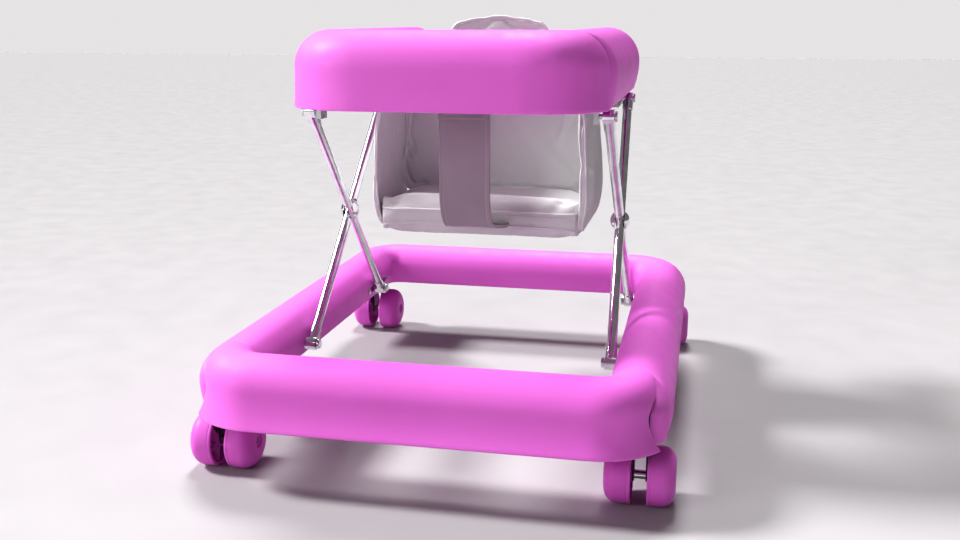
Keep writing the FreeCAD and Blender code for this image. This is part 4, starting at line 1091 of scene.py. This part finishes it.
# One half of the backrest's outline, from its foot to its head: (across, height, rounding)
BACK_EDGE = (
    (146, 277, 8), (151, 300, 10), (146, 390, 14), (141, 423, 12), (86, 441, 15), (HEAD_HALF, 470, 12),
    (HEAD_HALF, 520, 14))
BACK_FOLDS = (
    ((-120, 147, 300), (-50, 147, 362), 9, 2.6), ((122, 147, 296), (58, 147, 372), 9, 3.0),
    ((20, 147, 390), (64, 147, 330), 8, 2.2), ((-104, 147, 410), (-72, 147, 350), 8, 2.0),
    ((104, 147, 412), (86, 147, 352), 8, 2.2), ((-40, 147, 300), (36, 147, 306), 7, 2.0),
    ((-60, 150, 452), (-40, 150, 500), 7, 1.4), ((60, 150, 452), (44, 150, 506), 7, 1.6))


def make_back():
    """Backrest with a rounded head, curved round the child's back."""
    arch = [(HEAD_HALF - 2 * HEAD_HALF * step / 14, 524 + 16.5 * math.sin(math.pi * step / 14) ** 0.6, 0)
            for step in range(1, 14)]
    left = [(-across, height, rounding) for across, height, rounding in reversed(BACK_EDGE)]
    outline = smooth_profile(left[-1:] + list(BACK_EDGE) + arch + left[:-1])
    middle = (back_low.y + back_high.y) / 2

    def layout(flat):
        across, height, lift = flat.T
        wrap = -4.5 * MM * np.clip(np.abs(across) / 0.14, 0, 1.1) ** 3
        wrap *= np.clip((0.46 - height) / 0.06, 0, 1)
        hollow = 2.0 * MM * np.sin(np.clip((height - 0.28) / 0.17, 0, 1) * math.pi)
        head = 3.0 * MM * np.clip((height - 0.50) / 0.04, 0, 1) ** 2
        return np.column_stack([across, middle + lift + wrap + hollow + head, height])

    pad = pad_blank("seat_back_pad", outline, 7.5 * MM, layout)
    edge = np.array(outline)

    def held(spots):
        away = [np.min(np.linalg.norm(edge - spot[[0, 2]], axis=1)) for spot in spots]
        channel = np.abs(spots[:, 2] - CHANNEL)
        return np.maximum(np.clip(1 - np.array(away) / 0.006, 0, 1),
                          np.clip(1 - channel / 0.004, 0, 1))

    swell(pad, held, 6 * MM, -0.04)
    fold(pad, BACK_FOLDS, 0.6 * MM, (1.0, 1.0, 0.7))
    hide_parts("seat_back")
    faces_at = (-5 * MM, 5 * MM)
    trim_pad(pad, "seat_back", outline, layout, faces_at)
    across = np.linspace(-0.124, 0.124, 60)
    rows = []
    for face in faces_at:
        line = layout(np.column_stack([across, np.full(60, CHANNEL), np.full(60, face)]))
        rows.append(snapped(line, pad))
    stitches("seat_back_channel_stitching", rows)


SLEEVE_SIDES = 16
SLEEVE_RADIUS = 6.9 * MM


def make_sleeve():
    """Gathered cloth sleeve round the hoop's sides and back, which carries the seat."""
    half, far, corner = hoop_high.x - BAR_RADIUS, hoop_high.y - BAR_RADIUS, 45 * MM
    route = Path((half, 0.0), [((half - corner, far - corner), 0), ((corner - half, far - corner), 90)],
                 (-half, 0.0), corner, spacing=0.004, turn_step=5)
    stations = np.arange(0, route.length + 1e-6, 0.0025)
    places, outs = (route.at(stations, np.full(len(stations), across)) for across in (0.0, 1.0))
    outs = outs - places
    rows, sides = len(stations), SLEEVE_SIDES
    points = []
    for radius in (SLEEVE_RADIUS, 5.6 * MM):
        for gone, place, out in zip(stations, places, outs):
            gather = 0.00022 * math.sin(gone * 900)
            gather += 0.00045 * turbulence(Vector((gone * 60, 0, 0)))
            for step in range(sides):
                angle = 2 * math.pi * step / sides
                reach = max(radius + gather * (1.4 + math.sin(angle + gone * 70)), 5.3 * MM)
                across = place + out * reach * math.cos(angle)
                points.append((*across, HOOP_LEVEL + reach * math.sin(angle)))
    faces = grid_faces(rows, sides, close_columns=True)
    faces += grid_faces(rows, sides, close_columns=True, first=rows * sides)
    for row in (0, rows - 1):
        for step in range(sides):
            outer, after = row * sides + step, row * sides + (step + 1) % sides
            faces.append((outer, after, after + rows * sides, outer + rows * sides))
    sleeve = mesh_object("seat_hoop_sleeve", points, faces, CLOTH)
    lines = []
    for turn in (-62, 242):
        outward, rise = round_point(SLEEVE_RADIUS, turn)
        line = np.column_stack([places + outs * outward, np.full(rows, HOOP_LEVEL + rise)])
        lines.append(snapped(line[1:-1], sleeve))
    stitches("seat_hoop_sleeve_stitching", lines)


# Foot of the strap's side view: (along Y, height) in millimetres from its drop and its foot
STRAP_FOOT = (
    (0.4, 46), (2.5, 35), (7.5, 23.5), (15, 13.5), (24, 6.5), (35, 2.2), (47, 0.6), (60, 0.2),
    (73, 0.6), (79.5, 1.5))
STRAP_COLUMNS = 33
STRAP_HEM = 5.2 * MM


def strap_route():
    """Side view of the crotch strap: sewn loop over the hoop, straight drop, curve under to the pan."""
    bar_y, loop = hoop_low.y + BAR_RADIUS, 7.1 * MM
    drop_y, foot = bar_y + loop, strap_low.z + 2.5 * MM
    line = [(drop_y - 3.7 * MM, HOOP_LEVEL - rise * MM) for rise in (27, 23, 19, 15, 11)]
    for turn in range(232, -1, -8):
        along, rise = round_point(loop, turn)
        line.append((bar_y + along, HOOP_LEVEL + rise))
    heights = np.arange(HOOP_LEVEL - BAR_RADIUS, strap_low.z + 58 * MM, -6 * MM)
    line += [(drop_y, height) for height in heights]
    line += [(drop_y + along * MM, foot + rise * MM) for along, rise in STRAP_FOOT]
    return np.array(line)


def strap_point(x, width, share, flare, row):
    """Half thickness of the strap at a point, hemmed at its edges, and how far its folds lift it."""
    inset = width - abs(x)
    hem = np.clip(1 - inset / 0.0045, 0, 1)
    groove = math.exp(-((inset - STRAP_HEM) / 0.0008) ** 2)
    thick = 0.0012 + 0.00065 * math.sqrt(hem * (2 - hem)) - 0.0004 * groove
    if abs(share) > 0.985:
        thick *= math.sqrt(max(0.0, 1 - (abs(share) - 0.985) / 0.0151))
    wave = 0.0007 * turbulence(Vector((x * 22, row * 0.05, 3.1)))
    wave += flare * (0.0042 * math.cos(share * math.pi * 1.5) - 0.0030 * abs(share) ** 3)
    return max(thick, 0.0002), wave


def make_strap():
    """Flat crotch strap with rolled hems, flared into the pan's front with soft folds."""
    side_line = strap_route()
    flat_line = even_line(np.column_stack([np.zeros(len(side_line)), side_line]), 2.8 * MM)
    flat_line = eased(flat_line, 2)
    rows, ahead = len(flat_line), np.gradient(flat_line, axis=0)
    ahead /= np.linalg.norm(ahead, axis=1, keepdims=True)
    up = np.cross((1.0, 0.0, 0.0), ahead)
    half = strap_high.x
    foot_share = np.clip((flat_line[:, 1] - (strap_high.y - 50 * MM)) / 0.050, 0, 1)
    foot_share[:rows // 2] = 0
    shares = np.sin(np.linspace(-1, 1, STRAP_COLUMNS) * math.pi / 2)
    points = {}
    for row in range(rows):
        flare = foot_share[row] ** 2 * (3 - 2 * foot_share[row])
        width = half + 11 * MM * flare
        for column, share in enumerate(shares):
            x = share * width
            thick, wave = strap_point(x, width, share, flare, row)
            middle = flat_line[row] + np.array((x, 0, 0)) + up[row] * wave
            points[row, column, 0] = middle + up[row] * thick
            points[row, column, 1] = middle - up[row] * thick
    columns = range(STRAP_COLUMNS)
    ring = [(column, 0) for column in columns] + [(column, 1) for column in reversed(columns)]
    mesh_points = [points[row, column, face] for row in range(rows) for column, face in ring]
    count = len(ring)
    faces = grid_faces(rows, count, close_columns=True)
    for first in (0, (rows - 1) * count):
        faces += [(first + step, first + step + 1, first + count - 2 - step, first + count - 1 - step)
                  for step in columns[:-1]]
    strap = mesh_object("crotch_strap_webbing", mesh_points, faces, WEBBING, merge=1e-6)
    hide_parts("crotch_strap")
    lines = []
    for sign in (-1, 1):
        column = int(np.argmin(np.abs(shares * half - sign * (half - STRAP_HEM))))
        for face, way in ((0, 1), (1, -1)):
            lines.append((np.array([points[row, column, face] for row in range(rows)]), up * way))
    across = np.linspace(5 * MM - half, half - 5 * MM, 40)
    for rise in (2.2, 6.4):
        end = flat_line[0] + (0, -1.4 * MM, rise * MM)
        lines.append((end + across[:, None] * (1, 0, 0), np.tile((0.0, -1.0, 0.0), (40, 1))))
    stitches("crotch_strap_stitching", lines, length=0.0026)


make_pan()
for hand, sign in (("left", -1), ("right", 1)):
    make_side(hand, sign)
make_back()
make_sleeve()
make_strap()


# ------------------------------------------------------------------ floor
FLOOR_STEPS = 24
FLOOR_REACH = 14.0


def make_floor():
    """Wide flat pale floor."""
    sides = np.linspace(-FLOOR_REACH, FLOOR_REACH, FLOOR_STEPS + 1)
    mesh = bpy.data.meshes.new("floor")
    mesh.from_pydata([(x, y, 0.0) for y in sides for x in sides], [], grid_faces(len(sides), len(sides)))
    mesh.materials.append(floor_material())
    floor = bpy.data.objects.new("floor", mesh)
    scene.collection.objects.link(floor)


make_floor()
